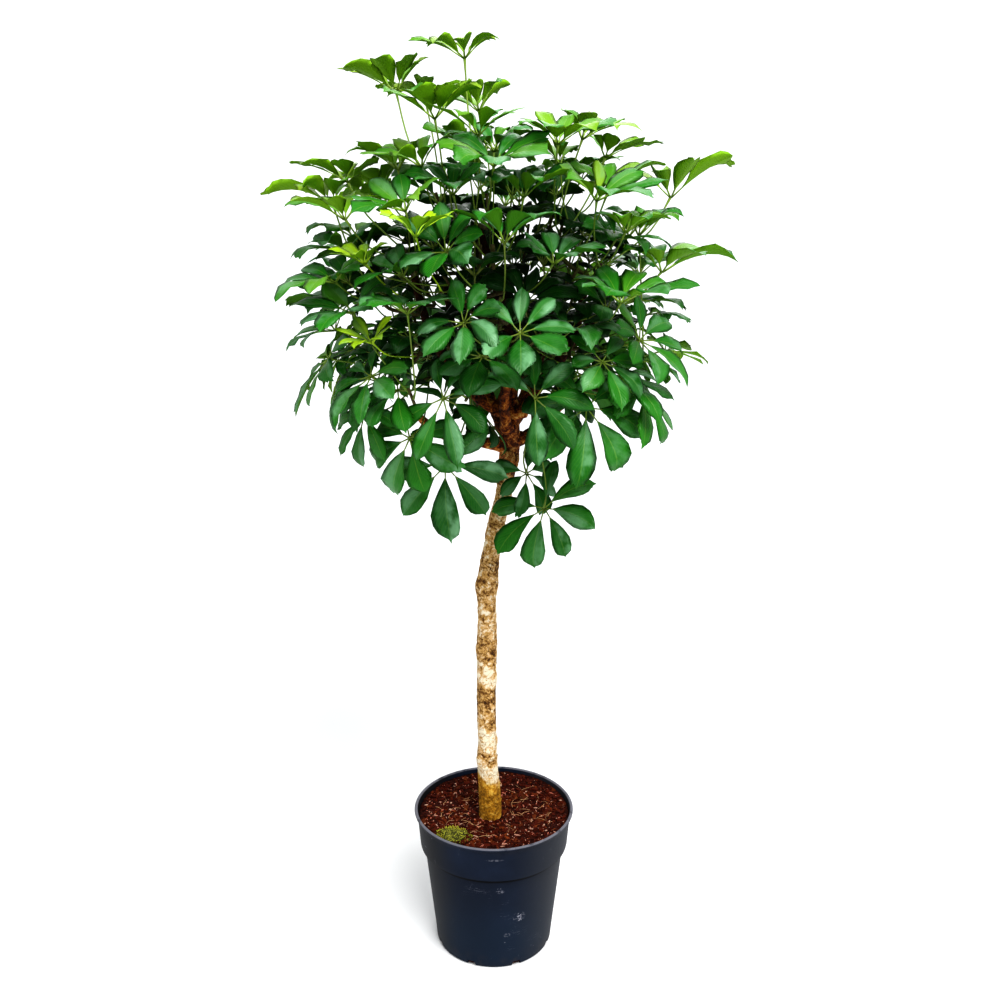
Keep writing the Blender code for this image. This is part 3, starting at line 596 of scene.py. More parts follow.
class Whorl:
    """The leaflets round one hub, and the stalk that holds it."""

    def __init__(self, leaflets):
        self.leaflets = leaflets
        self.hub = sum((leaflet.hub for leaflet in leaflets), Vector()) / len(leaflets)
        self.up = sum((leaflet.hub_up for leaflet in leaflets), Vector()).normalized()
        self.stalk = []

    def read_stalk(self):
        """Follow the CAD's rings from the hub down to the twig, and return the corners used."""
        used = set().union(*(leaflet.corners for leaflet in self.leaflets))
        ring = set().union(*(leaflet.feet for leaflet in self.leaflets))
        todo = list(ring)
        while todo:
            for edge in todo.pop().link_edges:
                for corner in edge.verts:
                    reach = (corner.co - self.hub).length
                    if corner not in ring and abs(reach - HUB_REACH) < 0.0003:
                        ring.add(corner)
                        todo.append(corner)
        centres = [self.hub + self.up * 0.001]
        for _ in range(3):
            used |= ring
            ring = {edge.other_vert(corner) for corner in ring for edge in corner.link_edges} - used
            centres.append(middle_of(ring))
        self.stalk = centres[::-1]
        return used


def read_shoot(node):
    """The whorls of a CAD shoot and the points of its twig, from the foot up."""
    bm = cad_copy(node)
    groups = []
    for corner in bm.verts:
        edges = corner.link_edges
        if len(edges) != 3 or min(edge.calc_length() for edge in edges) < TIP_EDGE:
            continue
        leaflet = Leaflet(corner)
        home = next((group for group in groups if (group[0].hub - leaflet.hub).length < SAME_HUB),
                    None)
        if home is None:
            groups.append([leaflet])
        else:
            home.append(leaflet)
    whorls = [Whorl(group) for group in groups]
    used = set().union(*(whorl.read_stalk() for whorl in whorls))
    twig = twig_points([corner for corner in bm.verts if corner not in used])
    bm.free()
    return whorls, twig


def least_reach(ring):
    """How near a ring's corners come to its middle, to a tenth of a millimetre."""
    middle = middle_of(ring)
    return round(min((corner.co - middle).length for corner in ring), 4)


def twig_points(corners):
    """Centres of a twig's rings in order, with the foot run on into the wood that carries it.

    The foot is the end with the largest ring, and of equals the first in the mesh. Where the rings
    left over by the leaves' stalks have a gap, the twig ends there.
    """
    rings = []
    left = list(corners)
    while left:
        ring = [corner for corner in left if (corner.co - left[0].co).length < RING_SPREAD]
        left = [corner for corner in left if corner not in ring]
        rings.append(ring)
    links = {}
    for index, ring in enumerate(rings):
        around = {edge.other_vert(corner) for corner in ring for edge in corner.link_edges}
        links[index] = [other for other in range(len(rings))
                        if other != index and around.intersection(rings[other])]
    ends = [index for index in links if len(links[index]) == 1]
    size = {index: least_reach(rings[index]) for index in ends}
    order = [max(ends, key=size.get)]
    while len(order) < len(rings):
        ahead = [other for other in links[order[-1]] if other not in order]
        if not ahead:
            break
        order.append(ahead[0])
    points = [middle_of(rings[index]) for index in order]
    inward = (points[0] - points[1]).normalized()
    return [points[0] + inward * TWIG_RUN_IN] + points


# ---- leaf blades ----

# Outline of a blade: where it is broadest, how full it is, how wide its blunt end is, and how far
# the end's five corners stand forward.
OUTLINES = (
    (1.14, 0.78, 0.00, (0.0, 0.0, 0.0, 0.0, 0.0)),
    (1.30, 0.62, 0.20, (-0.060, -0.035, 0.040, -0.035, -0.060)),
    (1.38, 0.62, 0.46, (-0.055, 0.014, -0.040, 0.014, -0.060)),
    (1.30, 0.66, 0.50, (-0.030, -0.055, 0.040, -0.050, -0.015)),
    (1.10, 0.84, 0.00, (0.0, 0.0, 0.030, 0.0, 0.0)),
    (1.46, 0.58, 0.38, (-0.070, -0.030, 0.045, -0.040, -0.060)),
    (1.42, 0.60, 0.58, (-0.010, 0.030, -0.050, 0.020, -0.040)),
)
BLADE_ACROSS = 4
BLADE_ALONG = 8


def blade_template(broadest, fullness, blunt, teeth, thickness):
    """A thin closed blade: X across from -1 to 1, Y along from 0 to 1, Z its thickness in metres."""
    bm = tinted_mesh()
    uv = bm.loops.layers.uv["leaf"]
    bmesh.ops.create_grid(bm, x_segments=BLADE_ACROSS, y_segments=BLADE_ALONG, size=1.0)
    for face in bm.faces:
        for loop in face.loops:
            run = (loop.vert.co.y + 1.0) / 2.0
            loop[uv].uv = ((loop.vert.co.x + 1.0) / 2.0, run - 0.09 * math.sin(math.tau * run))
    for corner in bm.verts:
        run = (corner.co.y + 1.0) / 2.0
        run -= 0.09 * math.sin(math.tau * run)
        column = round((corner.co.x + 1.0) / 2.0 * BLADE_ACROSS)
        width = math.sin(math.pi * run ** broadest) ** fullness if 0.0 < run < 1.0 else 0.0
        width = max(width, 0.05 * (1.0 - run), blunt * max(0.0, (run - 0.6) / 0.4) ** 0.5)
        lean = teeth[column] * max(0.0, (run - 0.8) / 0.2)
        rim = 1.0 - corner.co.x ** 2
        corner.co.z = thickness / 2 * rim * (1.0 - 0.6 * run)
        corner.co.x *= width
        corner.co.y = run ** 0.94 + lean
    under = bmesh.ops.duplicate(bm, geom=bm.verts[:] + bm.edges[:] + bm.faces[:])["geom"]
    faces = [item for item in under if isinstance(item, bmesh.types.BMFace)]
    for item in under:
        if isinstance(item, bmesh.types.BMVert):
            item.co.z = -item.co.z
    bmesh.ops.reverse_faces(bm, faces=faces)
    for face in faces:
        for loop in face.loops:
            loop[uv].uv.x += 2.0
    bmesh.ops.remove_doubles(bm, verts=bm.verts, dist=0.00002)
    return as_mesh(bm, "blade")


class Habit:
    """What the leaflets of one whorl have in common."""

    def __init__(self, whim, tint):
        self.breadth = whim.uniform(0.84, 1.20) * (1.0 + 0.28 * tint[2])
        self.fold = whim.uniform(0.05, 0.30) + 0.22 * tint[0]
        self.outlines = [whim.randrange(len(OUTLINES)) for _ in range(3)]


class Crown:
    """Grows leaves on the CAD's hubs with one set of templates and one stream of chance."""

    def __init__(self, settings):
        self.settings = settings
        self.whim = random.Random(5)
        self.blades = [blade_template(*outline, settings.thickness) for outline in OUTLINES]
        self.petiolule = rod_template(5, 3)
        self.petiole = rod_template(6, 9)
        self.twig = rod_template(8, 14)

    def add_leaflet(self, bm, whorl, leaflet, tint, habit):
        """Bend a blade along a leaflet's solid, with folds, waves and a twist of its own."""
        whim = self.whim
        foot = whorl.hub.lerp(leaflet.foot, 0.3)
        tip = foot.lerp(leaflet.tip, whim.uniform(0.84, 1.02))
        share = WIDEST_AT
        bow = (leaflet.middle - (1 - share) ** 2 * foot - share ** 2 * tip) / (2 * share * (1 - share))
        long = (tip - foot).length
        reach = leaflet.half * self.settings.breadth * habit.breadth * whim.uniform(0.88, 1.10)
        start = self.settings.stalk_share * whim.uniform(0.85, 1.25)
        fold = habit.fold + whim.uniform(-0.10, 0.14)
        cup = whim.uniform(-0.40, 0.0)
        twist = whim.gauss(0.0, 0.32 + 0.45 * tint[2])
        curl = (whim.uniform(-0.04, 0.13) + 0.16 * tint[2]) * long
        sweep = whim.uniform(-0.10, 0.10) * long
        wave = whim.uniform(0.03, 0.15) * reach
        beat = whim.uniform(1.6, 3.4) * math.tau
        phase = whim.uniform(0.0, math.tau)
        frames = {}
        for corner in add_copy(bm, self.blades[whim.choice(habit.outlines)], 0, tint):
            across, run, thick = corner.co
            key = round(run * 500)
            if key not in frames:
                s = start + (1.0 - start) * run
                place = (1 - s) ** 2 * foot + 2 * s * (1 - s) * bow + s * s * tip
                way = (2 * (1 - s) * (bow - foot) + 2 * s * (tip - bow)).normalized()
                up = square_to(leaflet.up, way)
                side = way.cross(up)
                turn = twist * (run - 0.2)
                late = max(0.0, run - 0.5)
                frames[key] = (place - up * (curl * late * late * 4.0) + side * (sweep * run * run),
                               math.cos(turn) * side + math.sin(turn) * up,
                               math.cos(turn) * up - math.sin(turn) * side)
            place, side, up = frames[key]
            edge = abs(across)
            rise = reach * (fold * edge + cup * edge * edge)
            rise += wave * edge * math.sin(beat * run + phase + (1.3 if across > 0 else 0.0))
            lean = 1.0 - 0.5 * max(0.0, fold) ** 2
            corner.co = place + side * (across * reach * lean) + up * (rise + thick)
        stem = [foot, (1 - start) ** 2 * foot + 2 * start * (1 - start) * bow + start ** 2 * tip]
        stem.append(stem[1] + (bow - foot).normalized() * 0.004)
        add_rod(bm, self.petiolule, Route(stem, 2), lambda run: 0.0011 - 0.0004 * run, 1, tint)

    def add_whorl(self, bm, whorl, tint):
        """One leaf: its stalk, and its leaflets with a lightness of their own."""
        add_rod(bm, self.petiole, Route(whorl.stalk, 6),
                lambda run: 0.00105 + 0.0009 * max(0.0, 0.1 - run) * 10
                + 0.0009 * max(0.0, run - 0.93) * 14, 1, tint)
        habit = Habit(self.whim, tint)
        for leaflet in whorl.leaflets:
            bright, _, deep = tint
            own = (clamp(bright + self.whim.uniform(-0.12, 0.12)),
                   self.whim.random(), deep)
            self.add_leaflet(bm, whorl, leaflet, own, habit)

    def tint_of(self, whorl):
        """How light a whorl's leaves are, partly their own colour and partly painted light on the top
        and sides of the crown, a chance value, and how deep they sit in the crown.
        """
        place = whorl.hub - Vector((0.0, 0.0, CROWN_MIDDLE))
        outward = Vector((place.x / CROWN_WIDE, place.y / CROWN_WIDE, place.z / CROWN_TALL)).length
        height = (whorl.hub.z - LIGHT_FROM) / LIGHT_SPAN
        aside = min(abs(place.x) / SIDE_SPAN, 1.0)
        # Painted light: higher leaves and outer side leaves lighter, low leaves darker; partly the
        # leaves' own colour.
        bright = 0.66 * clamp(height)
        bright += (0.22 + 1.10 * aside) * clamp(outward - 0.60)
        if whorl.hub.z < LOW_LEAVES:
            bright *= 0.85
        # Painted shade: how far inside the crown the leaf sits.
        deep = clamp((0.92 - outward) / 0.45)
        return (min(bright, 1.0), self.whim.random(), deep)

    def grow(self, node, materials):
        """A whole shoot: its twig and every leaf on it."""
        whorls, twig = read_shoot(node)
        bm = tinted_mesh()
        add_rod(bm, self.twig, Route(twig, 6), lambda run: 0.0031 - 0.0012 * run, 2, (0.3, 0.5, 0.3))
        for whorl in whorls:
            self.add_whorl(bm, whorl, self.tint_of(whorl))
        finish_piece(f"{node}_foliage", bm, materials, node)


# ---- leaf materials ----

def leaf_patterns(paint):
    """Which face of a blade, the run along it, the distance to the midrib, rib, half and veins."""
    leaf = paint.node("ShaderNodeUVMap", {"uv_map": "leaf"})
    across = paint.axis("X", leaf)
    run = paint.axis("Y", leaf)
    under = across.rise(1.4, 1.6)
    side = abs(across - 2.0 * under - 0.5) * 2.0
    rib = side.rise(0.075, 0.02)
    half = across.rise(0.38, 0.62)
    veins = (run * 62.0 - side * 26.0).sine()
    return under, run, side, rib, half, veins


def blade_material(name, settings, young=False):
    """Glossy green that goes from deep to light leaf by leaf, partly as painted light, with a paler
    midrib and underside, a painted sheen of sky on old leaves and painted shade deep in the crown.
    """
    paint = Paint(name)
    under, run, side, rib, half, veins = leaf_patterns(paint)
    bright = paint.tint()
    chance, deep = bright.part(1), bright.part(2)
    patch = paint.noise(34.0, 3.0)
    lift = bright + (patch - 0.5) * 0.30 + (chance - 0.5) * 0.30 + (0.5 - run) * 0.16
    if young:
        tone = paint.mix(settings.young, settings.light, (run * 0.5 + patch * 0.5).rise(0.45, 1.2))
    else:
        tone = paint.coat(settings.deep, (settings.middle, lift.rise(0.0, 0.40)),
                          (settings.light, lift.rise(0.40, 1.0)),
                          (settings.ripe, bright.rise(0.45, 0.9) * chance.rise(0.35, 0.85) * 0.7))
    # Painted reflection: a pale sheen of sky over one half of some leaflets, kept off leaves painted
    # light and off those deep in the crown.
    turned = chance.rise(0.40, 0.60)
    sheen_half = half * turned + (1.0 - half) * (1.0 - turned)
    painted_sheen = (0.20 + sheen_half * 0.68) * patch.rise(0.36, 0.60) * abs(chance - 0.5).rise(0.0, 0.35)
    painted_sheen = painted_sheen * (1.0 - bright * 0.75) * (1.0 - deep * 1.3).highest(0.0)
    below = paint.mix(settings.under, settings.glow, bright.rise(0.15, 0.75))
    tone = paint.coat(tone, (settings.rib, rib * (1.0 - run * 0.80) * (0.16 + 0.55 * bright)),
                      (settings.light, veins.rise(0.70, 1.0) * side.rise(0.95, 0.5) * 0.09),
                      (settings.light, side.rise(0.90, 1.0) * 0.20),
                      (settings.painted_sheen, painted_sheen), (below, under * 0.80))
    # Painted shade: leaves deep inside the crown are darkened.
    shade = 1.0 - deep * 0.58
    painted_shade_grey = paint.node("ShaderNodeCombineColor", inputs={0: shade, 1: shade, 2: shade})
    tone = paint.mix(tone, painted_shade_grey, 1.0, "MULTIPLY")
    height = veins * 0.35 + rib * -1.2 + paint.noise(420.0, 2.0) * 0.3
    rough = 0.27 + under * 0.25 + paint.noise(60.0, 2.0) * 0.14
    return paint.finish(tone, rough, (height, 0.00035, 0.5), 0.19)


def stalk_material(name, settings, tone):
    """Smooth green stalk, painted duller where its leaves are painted darker (painted shade), and
    flecked with brown.
    """
    paint = Paint(name)
    flecks = paint.noise(260.0, 3.0)
    streak = paint.noise(24.0, 2.0)
    bright = paint.tint()
    tone = paint.coat(tone, (settings.light, streak.rise(0.35, 0.75) * 0.5),
                      # Painted shade: the stalk dulls where its leaf is painted dark.
                      (settings.twig, bright.rise(0.55, 0.0) * 0.55),
                      (settings.twig, flecks.rise(0.60, 0.78) * 0.55))
    return paint.finish(tone, 0.42 + flecks * 0.15, (flecks, 0.0002, 0.5))


def twig_material(name, settings):
    """Green-brown twig bark with dark flecks and a ringed relief."""
    paint = Paint(name)
    flecks = paint.noise(190.0, 4.0)
    tone = paint.coat(settings.twig, (settings.stalk, paint.noise(16.0, 2.0).rise(0.50, 0.72) * 0.55),
                      ((0.05, 0.022, 0.010), flecks.rise(0.48, 0.66)))
    rings = paint.cells(210.0, vector=paint.stretched(0.4, 0.4, 1.0))
    return paint.finish(tone, 0.60 + flecks * 0.2, (flecks + rings * 0.6, 0.0006, 0.7))


# ---- operators ----

class PieceOperator(bpy.types.Operator):
    """Shared ground of the plant's operators"""
    bl_options = {"REGISTER", "UNDO"}


class PLANT_OT_pot(PieceOperator):
    """Turn the pot's wall, collar and rolled rim, and cut its drain notches"""
    bl_idname = "plant.pot"
    bl_label = "Pot"

    def execute(self, context):
        settings = context.scene.plant_pot
        low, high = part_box("pot")
        bm = turned(pot_outline(settings, low.z, high.z, high.x), settings.steps)
        shell = finish_piece("pot_shell", bm, [pot_material(settings, high.z)], "pot")
        cut_notches(shell, high.x)
        return {"FINISHED"}


def pot_outline(settings, foot, top, rim):
    """The wall from the middle of the underside, up the outside, round the rim and down inside."""
    bead = settings.rim_bead
    step = top - settings.collar
    base = rim - FOOT_INSET
    wall = rim - WALL_INSET
    outside = [(0.0, foot + 0.0012), (base - 0.016, foot + 0.0012), (base - 0.0145, foot),
               (base - 0.0045, foot), (base - 0.0015, foot + 0.0012), (base + 0.0002, foot + 0.0048)]
    run = 12
    for index in range(1, run + 1):
        t = index / run
        outside.append((base + (wall - base) * t, foot + 0.005 + (step - foot - 0.0075) * t))
    outside += [(wall - 0.0006, step - 0.0018), (wall - 0.0002, step - 0.0008),
                (rim - 0.0112, step + 0.0006), (rim - 0.0090, step + 0.0020),
                (rim - 0.0084, step + 0.0045)]
    for index in range(1, 8):
        t = index / 7
        outside.append((rim - 0.0084 + 0.0042 * t, step + 0.0045 + (top - 0.0108 - step) * t))
    lip = [(rim - bead + bead * math.cos(angle), top - bead + bead * math.sin(angle) * 0.98)
           for angle in [math.radians(value) for value in range(-75, 181, 17)]]
    neck = [(rim - 0.0038, top - 0.0056), (rim - 0.0028, top - 0.0052)]
    inside = [(rim - 0.0062, top - 0.0100), (rim - 0.0084, step + 0.0160),
              (rim - 0.0107, step + 0.0034), (wall - 0.0022, step - 0.0004)]
    for index in range(1, 6):
        t = index / 5
        inside.append((wall - 0.0022 + (base - wall) * t, step - 0.0004 - (step - foot - 0.0080) * t))
    inside += [(base - 0.0062, foot + 0.0036), (0.0, foot + 0.0036)]
    return outside + neck + lip + inside


def turned(outline, steps):
    """Turn an outline about the Z axis into a closed shape."""
    bm = bmesh.new()
    points = [bm.verts.new((radius, 0.0, height)) for radius, height in outline]
    edges = [bm.edges.new(pair) for pair in zip(points, points[1:])]
    bmesh.ops.spin(bm, geom=points + edges, cent=(0, 0, 0), axis=(0, 0, 1), dvec=(0, 0, 0),
                   angle=math.tau, steps=steps, use_merge=True)
    bmesh.ops.remove_doubles(bm, verts=bm.verts, dist=0.00002)
    bmesh.ops.recalc_face_normals(bm, faces=bm.faces)
    return bm


def cut_notches(shell, rim):
    """Cut the drain notches where the wall meets the foot, as in the CAD node."""
    base = rim - FOOT_INSET
    bm = bmesh.new()
    for index in range(NOTCHES):
        bearing = math.tau * (index + 0.5) / NOTCHES
        made = bmesh.ops.create_cube(bm, size=1.0)["verts"]
        bmesh.ops.scale(bm, verts=made, vec=NOTCH_SIZE)
        edges = dict.fromkeys(edge for corner in made for edge in corner.link_edges)
        upright = [edge for edge in edges
                   if abs(edge.verts[0].co.x - edge.verts[1].co.x) > 0.01 and edge.verts[0].co.z > 0]
        made = bmesh.ops.bevel(bm, geom=upright, offset=0.003, segments=3, profile=0.5,
                               affect="EDGES", material=-1)["verts"] + made
        made = [corner for corner in dict.fromkeys(made) if corner.is_valid]
        bmesh.ops.translate(bm, verts=made, vec=(base, 0.0, 0.0))
        bmesh.ops.rotate(bm, verts=made, matrix=Matrix.Rotation(bearing, 3, "Z"), cent=(0, 0, 0))
    cutter = linked("notches", as_mesh(bm, "notches"))
    cut = shell.modifiers.new("notches", "BOOLEAN")
    cut.operation = "DIFFERENCE"
    cut.solver = "EXACT"
    cut.object = cutter
    bpy.context.view_layer.update()
    ready = shell.evaluated_get(bpy.context.evaluated_depsgraph_get())
    shell.modifiers.clear()
    shell.data = bpy.data.meshes.new_from_object(ready)
    shell.data.set_sharp_from_angle(angle=math.radians(38))
    bpy.data.objects.remove(cutter)


# Marks on the front of the wall: across, height, half width and half height in metres.
SCRATCHES = ((0.037, 0.091, 0.010, 0.010), (0.009, 0.143, 0.008, 0.006), (0.020, 0.060, 0.006, 0.005))
STREAK = (0.001, 0.201, 0.016, 0.0020)


def mark(paint, across, high, place):
    """1 inside an oval on the front of the wall, fading to 0 at its edge."""
    middle, height, wide, tall = place
    reach = (abs(across - middle) / wide) ** 2.0 + (abs(high - height) / tall) ** 2.0
    return reach.rise(1.0, 0.3) * paint.axis("Y").rise(0.02, 0.0)


def pot_material(settings, top):
    """Dull navy plastic with a rubbed rim, scuffs, scratches and a little dried soil, with a painted
    highlight on the rim, a painted shadow under the collar and sides painted lighter on the right and
    darker on the left.
    """
    paint = Paint("pot_plastic_finish")
    across, high = paint.axis("X"), paint.axis("Z")
    cloud = paint.noise(9.0, 4.0)
    fine = paint.noise(900.0, 2.0)
    # Rubbed wear and a painted highlight along the top of the rim.
    rim = high.rise(top - 0.0026, top - 0.0010)
    rim_wear_and_highlight = rim * paint.noise(70.0, 3.0).rise(0.20, 0.50)
    step = top - settings.collar
    # Painted shadow: a dark line under the collar's step.
    line = high.band(step - 0.0008, 0.0018, 0.0034)
    scuff = paint.noise(46.0, 5.0, 0.7, paint.stretched(1.0, 1.0, 0.45))
    scuffs = scuff.rise(0.64, 0.74) * paint.noise(11.0, 2.0).rise(0.50, 0.66)
    hairs = paint.noise(30.0, 2.0, 0.5, paint.stretched(1.0, 1.0, 9.0), bend=0.6)
    hair = hairs.band(0.5, 0.0035, 0.004) * paint.noise(14.0, 2.0).rise(0.60, 0.72)
    specks = paint.noise(150.0, 4.0, 0.6).rise(0.68, 0.76) * paint.noise(8.0, 2.0).rise(0.50, 0.62)
    rough_spots = paint.noise(230.0, 4.0, 0.7)
    scratch = mark(paint, across, high, SCRATCHES[0]) * rough_spots.rise(0.50, 0.60)
    faint = (mark(paint, across, high, SCRATCHES[1])
             + mark(paint, across, high, SCRATCHES[2])) * rough_spots.rise(0.48, 0.62)
    streak = mark(paint, across, high, STREAK) * rough_spots.rise(0.35, 0.60)
    marks = (scuffs * 0.22).highest(hair * 0.32).highest(specks * 0.85)
    marks = marks.highest(scratch).highest(faint * 0.45).highest(streak * 0.35)
    dust = high.rise(0.035, 0.0) * 0.25 + high.rise(top - 0.026, top - 0.002) * 0.12
    tone = paint.coat(settings.plastic, (scaled(settings.plastic, 1.7), cloud.rise(0.35, 0.75)),
                      ((0.0110, 0.0230, 0.0420), high.rise(0.15, 0.04) * 0.6),
                      # Painted light and shade: the right side lighter grey, the left side darker
                      # brown-grey.
                      ((0.034, 0.036, 0.042), across.rise(0.020, 0.100) * 0.75),
                      ((0.016, 0.015, 0.014), across.rise(-0.050, -0.095) * 0.75),
                      # Wear and a painted highlight on the rim, then the painted shadow under the
                      # collar.
                      (settings.worn, rim_wear_and_highlight * 0.8), ((0.0012, 0.0012, 0.002), line * 0.95),
                      (scaled(settings.worn, 1.6), marks),
                      (settings.dust, dust * paint.noise(60.0, 4.0).rise(0.40, 0.75)))
    return paint.finish(tone, 0.46 + cloud * 0.14 + scuffs * 0.18,
                        (fine * 0.35 + marks * 0.5, 0.0003, 0.35), 0.12)


# ---- potting mix and moss ----

class MixTop:
    """The lumpy top of the mix: lowest round the trunk and heaped a little at the back wall."""

    def __init__(self, relief):
        self.relief = relief
        self.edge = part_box("potting_mix")[1].z - 0.0006

    def height(self, across, deep):
        """The height of the mix at a place."""
        rise = clamp((math.hypot(across + 0.003, deep) - 0.020) / 0.090)
        rise = rise * rise * (3.0 - 2.0 * rise)
        heap = 0.0035 * max(0.0, (deep + 0.3 * across) / 0.11) ** 1.5
        lumps = noise.noise(Vector((across, deep, 0.3)) * 75.0)
        fine = noise.noise(Vector((across, deep, 1.7)) * 210.0)
        return (self.edge - 0.0075 * (1.0 - rise) + heap
                + self.relief * (0.55 * lumps + 0.45 * fine))


class PLANT_OT_mix(PieceOperator):
    """Fill the pot with potting mix, and strew it with crumbs, pale grains and dry fibres"""
    bl_idname = "plant.mix"
    bl_label = "Potting mix"

    def execute(self, context):
        settings = context.scene.plant_mix
        low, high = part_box("potting_mix")
        top = MixTop(settings.relief)
        finish_piece("mix_fill", mix_body(top, low.z, high.x), [mix_material(settings)],
                     "potting_mix")
        strew(settings, top)
        lay_fibres(settings, top)
        return {"FINISHED"}


def mix_body(top, floor, edge):
    """A disc of fine cells over the mix's top, and its plain sides and floor."""
    bm = bmesh.new()
    cells = 84
    made = bmesh.ops.create_grid(bm, x_segments=cells, y_segments=cells, size=1.0)["verts"]
    for corner in made:
        a, b = corner.co.x, corner.co.y
        across = edge * a * math.sqrt(1.0 - b * b / 2.0)
        deep = edge * b * math.sqrt(1.0 - a * a / 2.0)
        corner.co = (across, deep, top.height(across, deep))
    for radius, height in ((edge - 0.0022, 0.190), (edge - 0.0044, 0.168), (edge - 0.0105, 0.160),
                           (edge - 0.0270, floor)):
        rim = [side for side in bm.edges if side.is_boundary]
        made = bmesh.ops.extrude_edge_only(bm, edges=rim)["geom"]
        for corner in (item for item in made if isinstance(item, bmesh.types.BMVert)):
            out = Vector((corner.co.x, corner.co.y)).normalized()
            corner.co = (out.x * radius, out.y * radius, height)
    close_holes(bm)
    return bm


def on_mix(across, deep, edge, clear):
    """Whether a place is inside the pot and clear of the trunk."""
    return math.hypot(across, deep) < edge and math.hypot(across + TRUNK_LEFT, deep) > clear


def scatter_place(whim, edge, clear):
    """A chance place on the mix."""
    while True:
        across, deep = whim.uniform(-edge, edge), whim.uniform(-edge, edge)
        if on_mix(across, deep, edge, clear):
            return across, deep


def lump_template(kind):
    """A small rough lump: a grain, or a flat splinter."""
    bm = bmesh.new()
    if kind == "grain":
        bmesh.ops.create_icosphere(bm, subdivisions=1, radius=1.0)
    else:
        bmesh.ops.create_cube(bm, size=1.6)
        bmesh.ops.bevel(bm, geom=bm.edges[:], offset=0.25, segments=1, profile=0.5,
                        affect="EDGES", material=-1)
    bm.verts.layers.float_color.new("tint")
    return as_mesh(bm, "lump")


def strew(settings, top):
    """Scatter crumbs of peat, splinters of bark and pale grains over the mix."""
    whim = random.Random(23)
    grain, splinter = lump_template("grain"), lump_template("splinter")
    bits, pale = Heap(), Heap()
    for index in range(settings.crumbs + settings.grains):
        across, deep = scatter_place(whim, CRUMB_REACH, CRUMB_CLEAR)
        ground = top.height(across, deep)
        turn = Matrix.Rotation(whim.uniform(0, math.tau), 3, "Z") @ Matrix.Rotation(
            whim.uniform(-0.5, 0.5), 3, "X")
        if index < settings.crumbs:
            size = 0.0008 + 0.0022 * whim.random() ** 2
            long = whim.random() < 0.35
            reach = Vector((size * (2.2 if long else 1.0), size, size * (0.45 if long else 0.8)))
            heap, template = bits, splinter if long else grain
        else:
            size = 0.0004 + 0.0014 * whim.random() ** 3
            reach = Vector((size * whim.uniform(1.0, 3.2), size * whim.uniform(0.6, 1.1), size * 0.7))
            heap, template = pale, grain
        for corner in heap.add(template, [whim.random() for _ in range(3)]):
            rough = 1.0 + 0.28 * noise.noise(corner.co * 1.7 + Vector((index, 0, 0)))
            spot = turn @ Vector([corner.co[k] * reach[k] * rough for k in range(3)])
            corner.co = Vector((across, deep, ground + reach.z * 0.35)) + spot
    finish_piece("mix_crumbs", bits.pour(), [crumb_material(settings)], None, False)
    finish_piece("mix_grains", pale.pour(), [grain_material(settings)], None, False)


def lay_fibres(settings, top):
    """Dry root and bark fibres that lie on the mix in loose curves."""
    whim = random.Random(31)
    rod = rod_template(4, 7)
    bm = tinted_mesh()
    for _ in range(settings.fibres):
        across, deep = scatter_place(whim, FIBRE_REACH, FIBRE_CLEAR)
        bearing = whim.uniform(0, math.tau)
        bend = whim.uniform(-0.5, 0.5)
        step = whim.uniform(0.003, 0.0085)
        points = []
        for index in range(4):
            ground = top.height(across, deep)
            points.append(Vector((across, deep, ground + 0.0008 + 0.0012 * (index in (1, 2)))))
            across += math.cos(bearing) * step
            deep += math.sin(bearing) * step
            bearing += bend
        thick = whim.uniform(0.00025, 0.0006)
        if on_mix(across, deep, FIBRE_END_REACH, FIBRE_END_CLEAR):
            add_rod(bm, rod, Route(points, 3), lambda run, t=thick: t * (1.1 - 0.6 * run), 0,
                    (whim.random(), 0.5, 0.5))
    finish_piece("mix_fibres", bm, [fibre_material(settings)], None)


def mix_material(settings):
    """Moist red-brown peat with bits of bark and a few green patches, and painted shade in the gaps
    between crumbs.
    """
    paint = Paint("potting_mix_finish")
    crumbs = paint.cells(260.0)
    bits = paint.cells(95.0, vector=paint.stretched(1.0, 0.55, 1.0))
    cloud = paint.noise(26.0, 4.0)
    chance = paint.node("ShaderNodeSeparateColor", inputs={0: bits.part("Color")})
    green = paint.noise(17.0, 2.0).rise(0.63, 0.75) * crumbs.rise(0.1, 0.5)
    # Painted shade: the peat is darker in the sunken gaps between crumbs.
    tone = paint.coat(scaled(settings.peat, 0.35), (settings.peat, (1.0 - crumbs).rise(0.30, 0.85)),
                      (settings.bark, chance.rise(0.72, 0.95) * 0.45),
                      (scaled(settings.peat, 1.7), cloud.rise(0.5, 0.8) * 0.6),
                      ((0.035, 0.040, 0.006), green * 0.7))
    height = (1.0 - crumbs) * 0.8 + paint.noise(500.0, 3.0) * 0.4
    return paint.finish(tone, 0.72 + cloud * 0.2, (height, 0.0016, 0.9), 0.12)


def crumb_material(settings):
    """Peat crumbs, a few of them bright bark."""
    paint = Paint("crumb_finish")
    tint = paint.tint()
    dark = scaled(settings.peat, 0.55)
    speck = paint.noise(700.0, 3.0)
    tone = paint.coat(dark, (scaled(settings.peat, 1.5), tint.rise(0.0, 0.85)),
                      (settings.bark, tint.part(1).rise(0.88, 0.98) * 0.7),
                      (dark, speck.rise(0.50, 0.70) * 0.6))
    return paint.finish(tone, 0.66 + speck * 0.2, (speck, 0.0005, 0.7), 0.12)


def grain_material(settings):
    """Pale pinkish grains with brown specks."""
    paint = Paint("grain_finish")
    tint = paint.tint()
    speck = paint.noise(900.0, 3.0)
    tone = paint.coat(settings.grain, ((0.36, 0.10, 0.06), tint.rise(0.15, 0.80) * 0.9),
                      ((0.16, 0.06, 0.03), speck.rise(0.50, 0.68) * 0.8))
    return paint.finish(tone, 0.75 + speck * 0.15, (speck, 0.0004, 0.8))


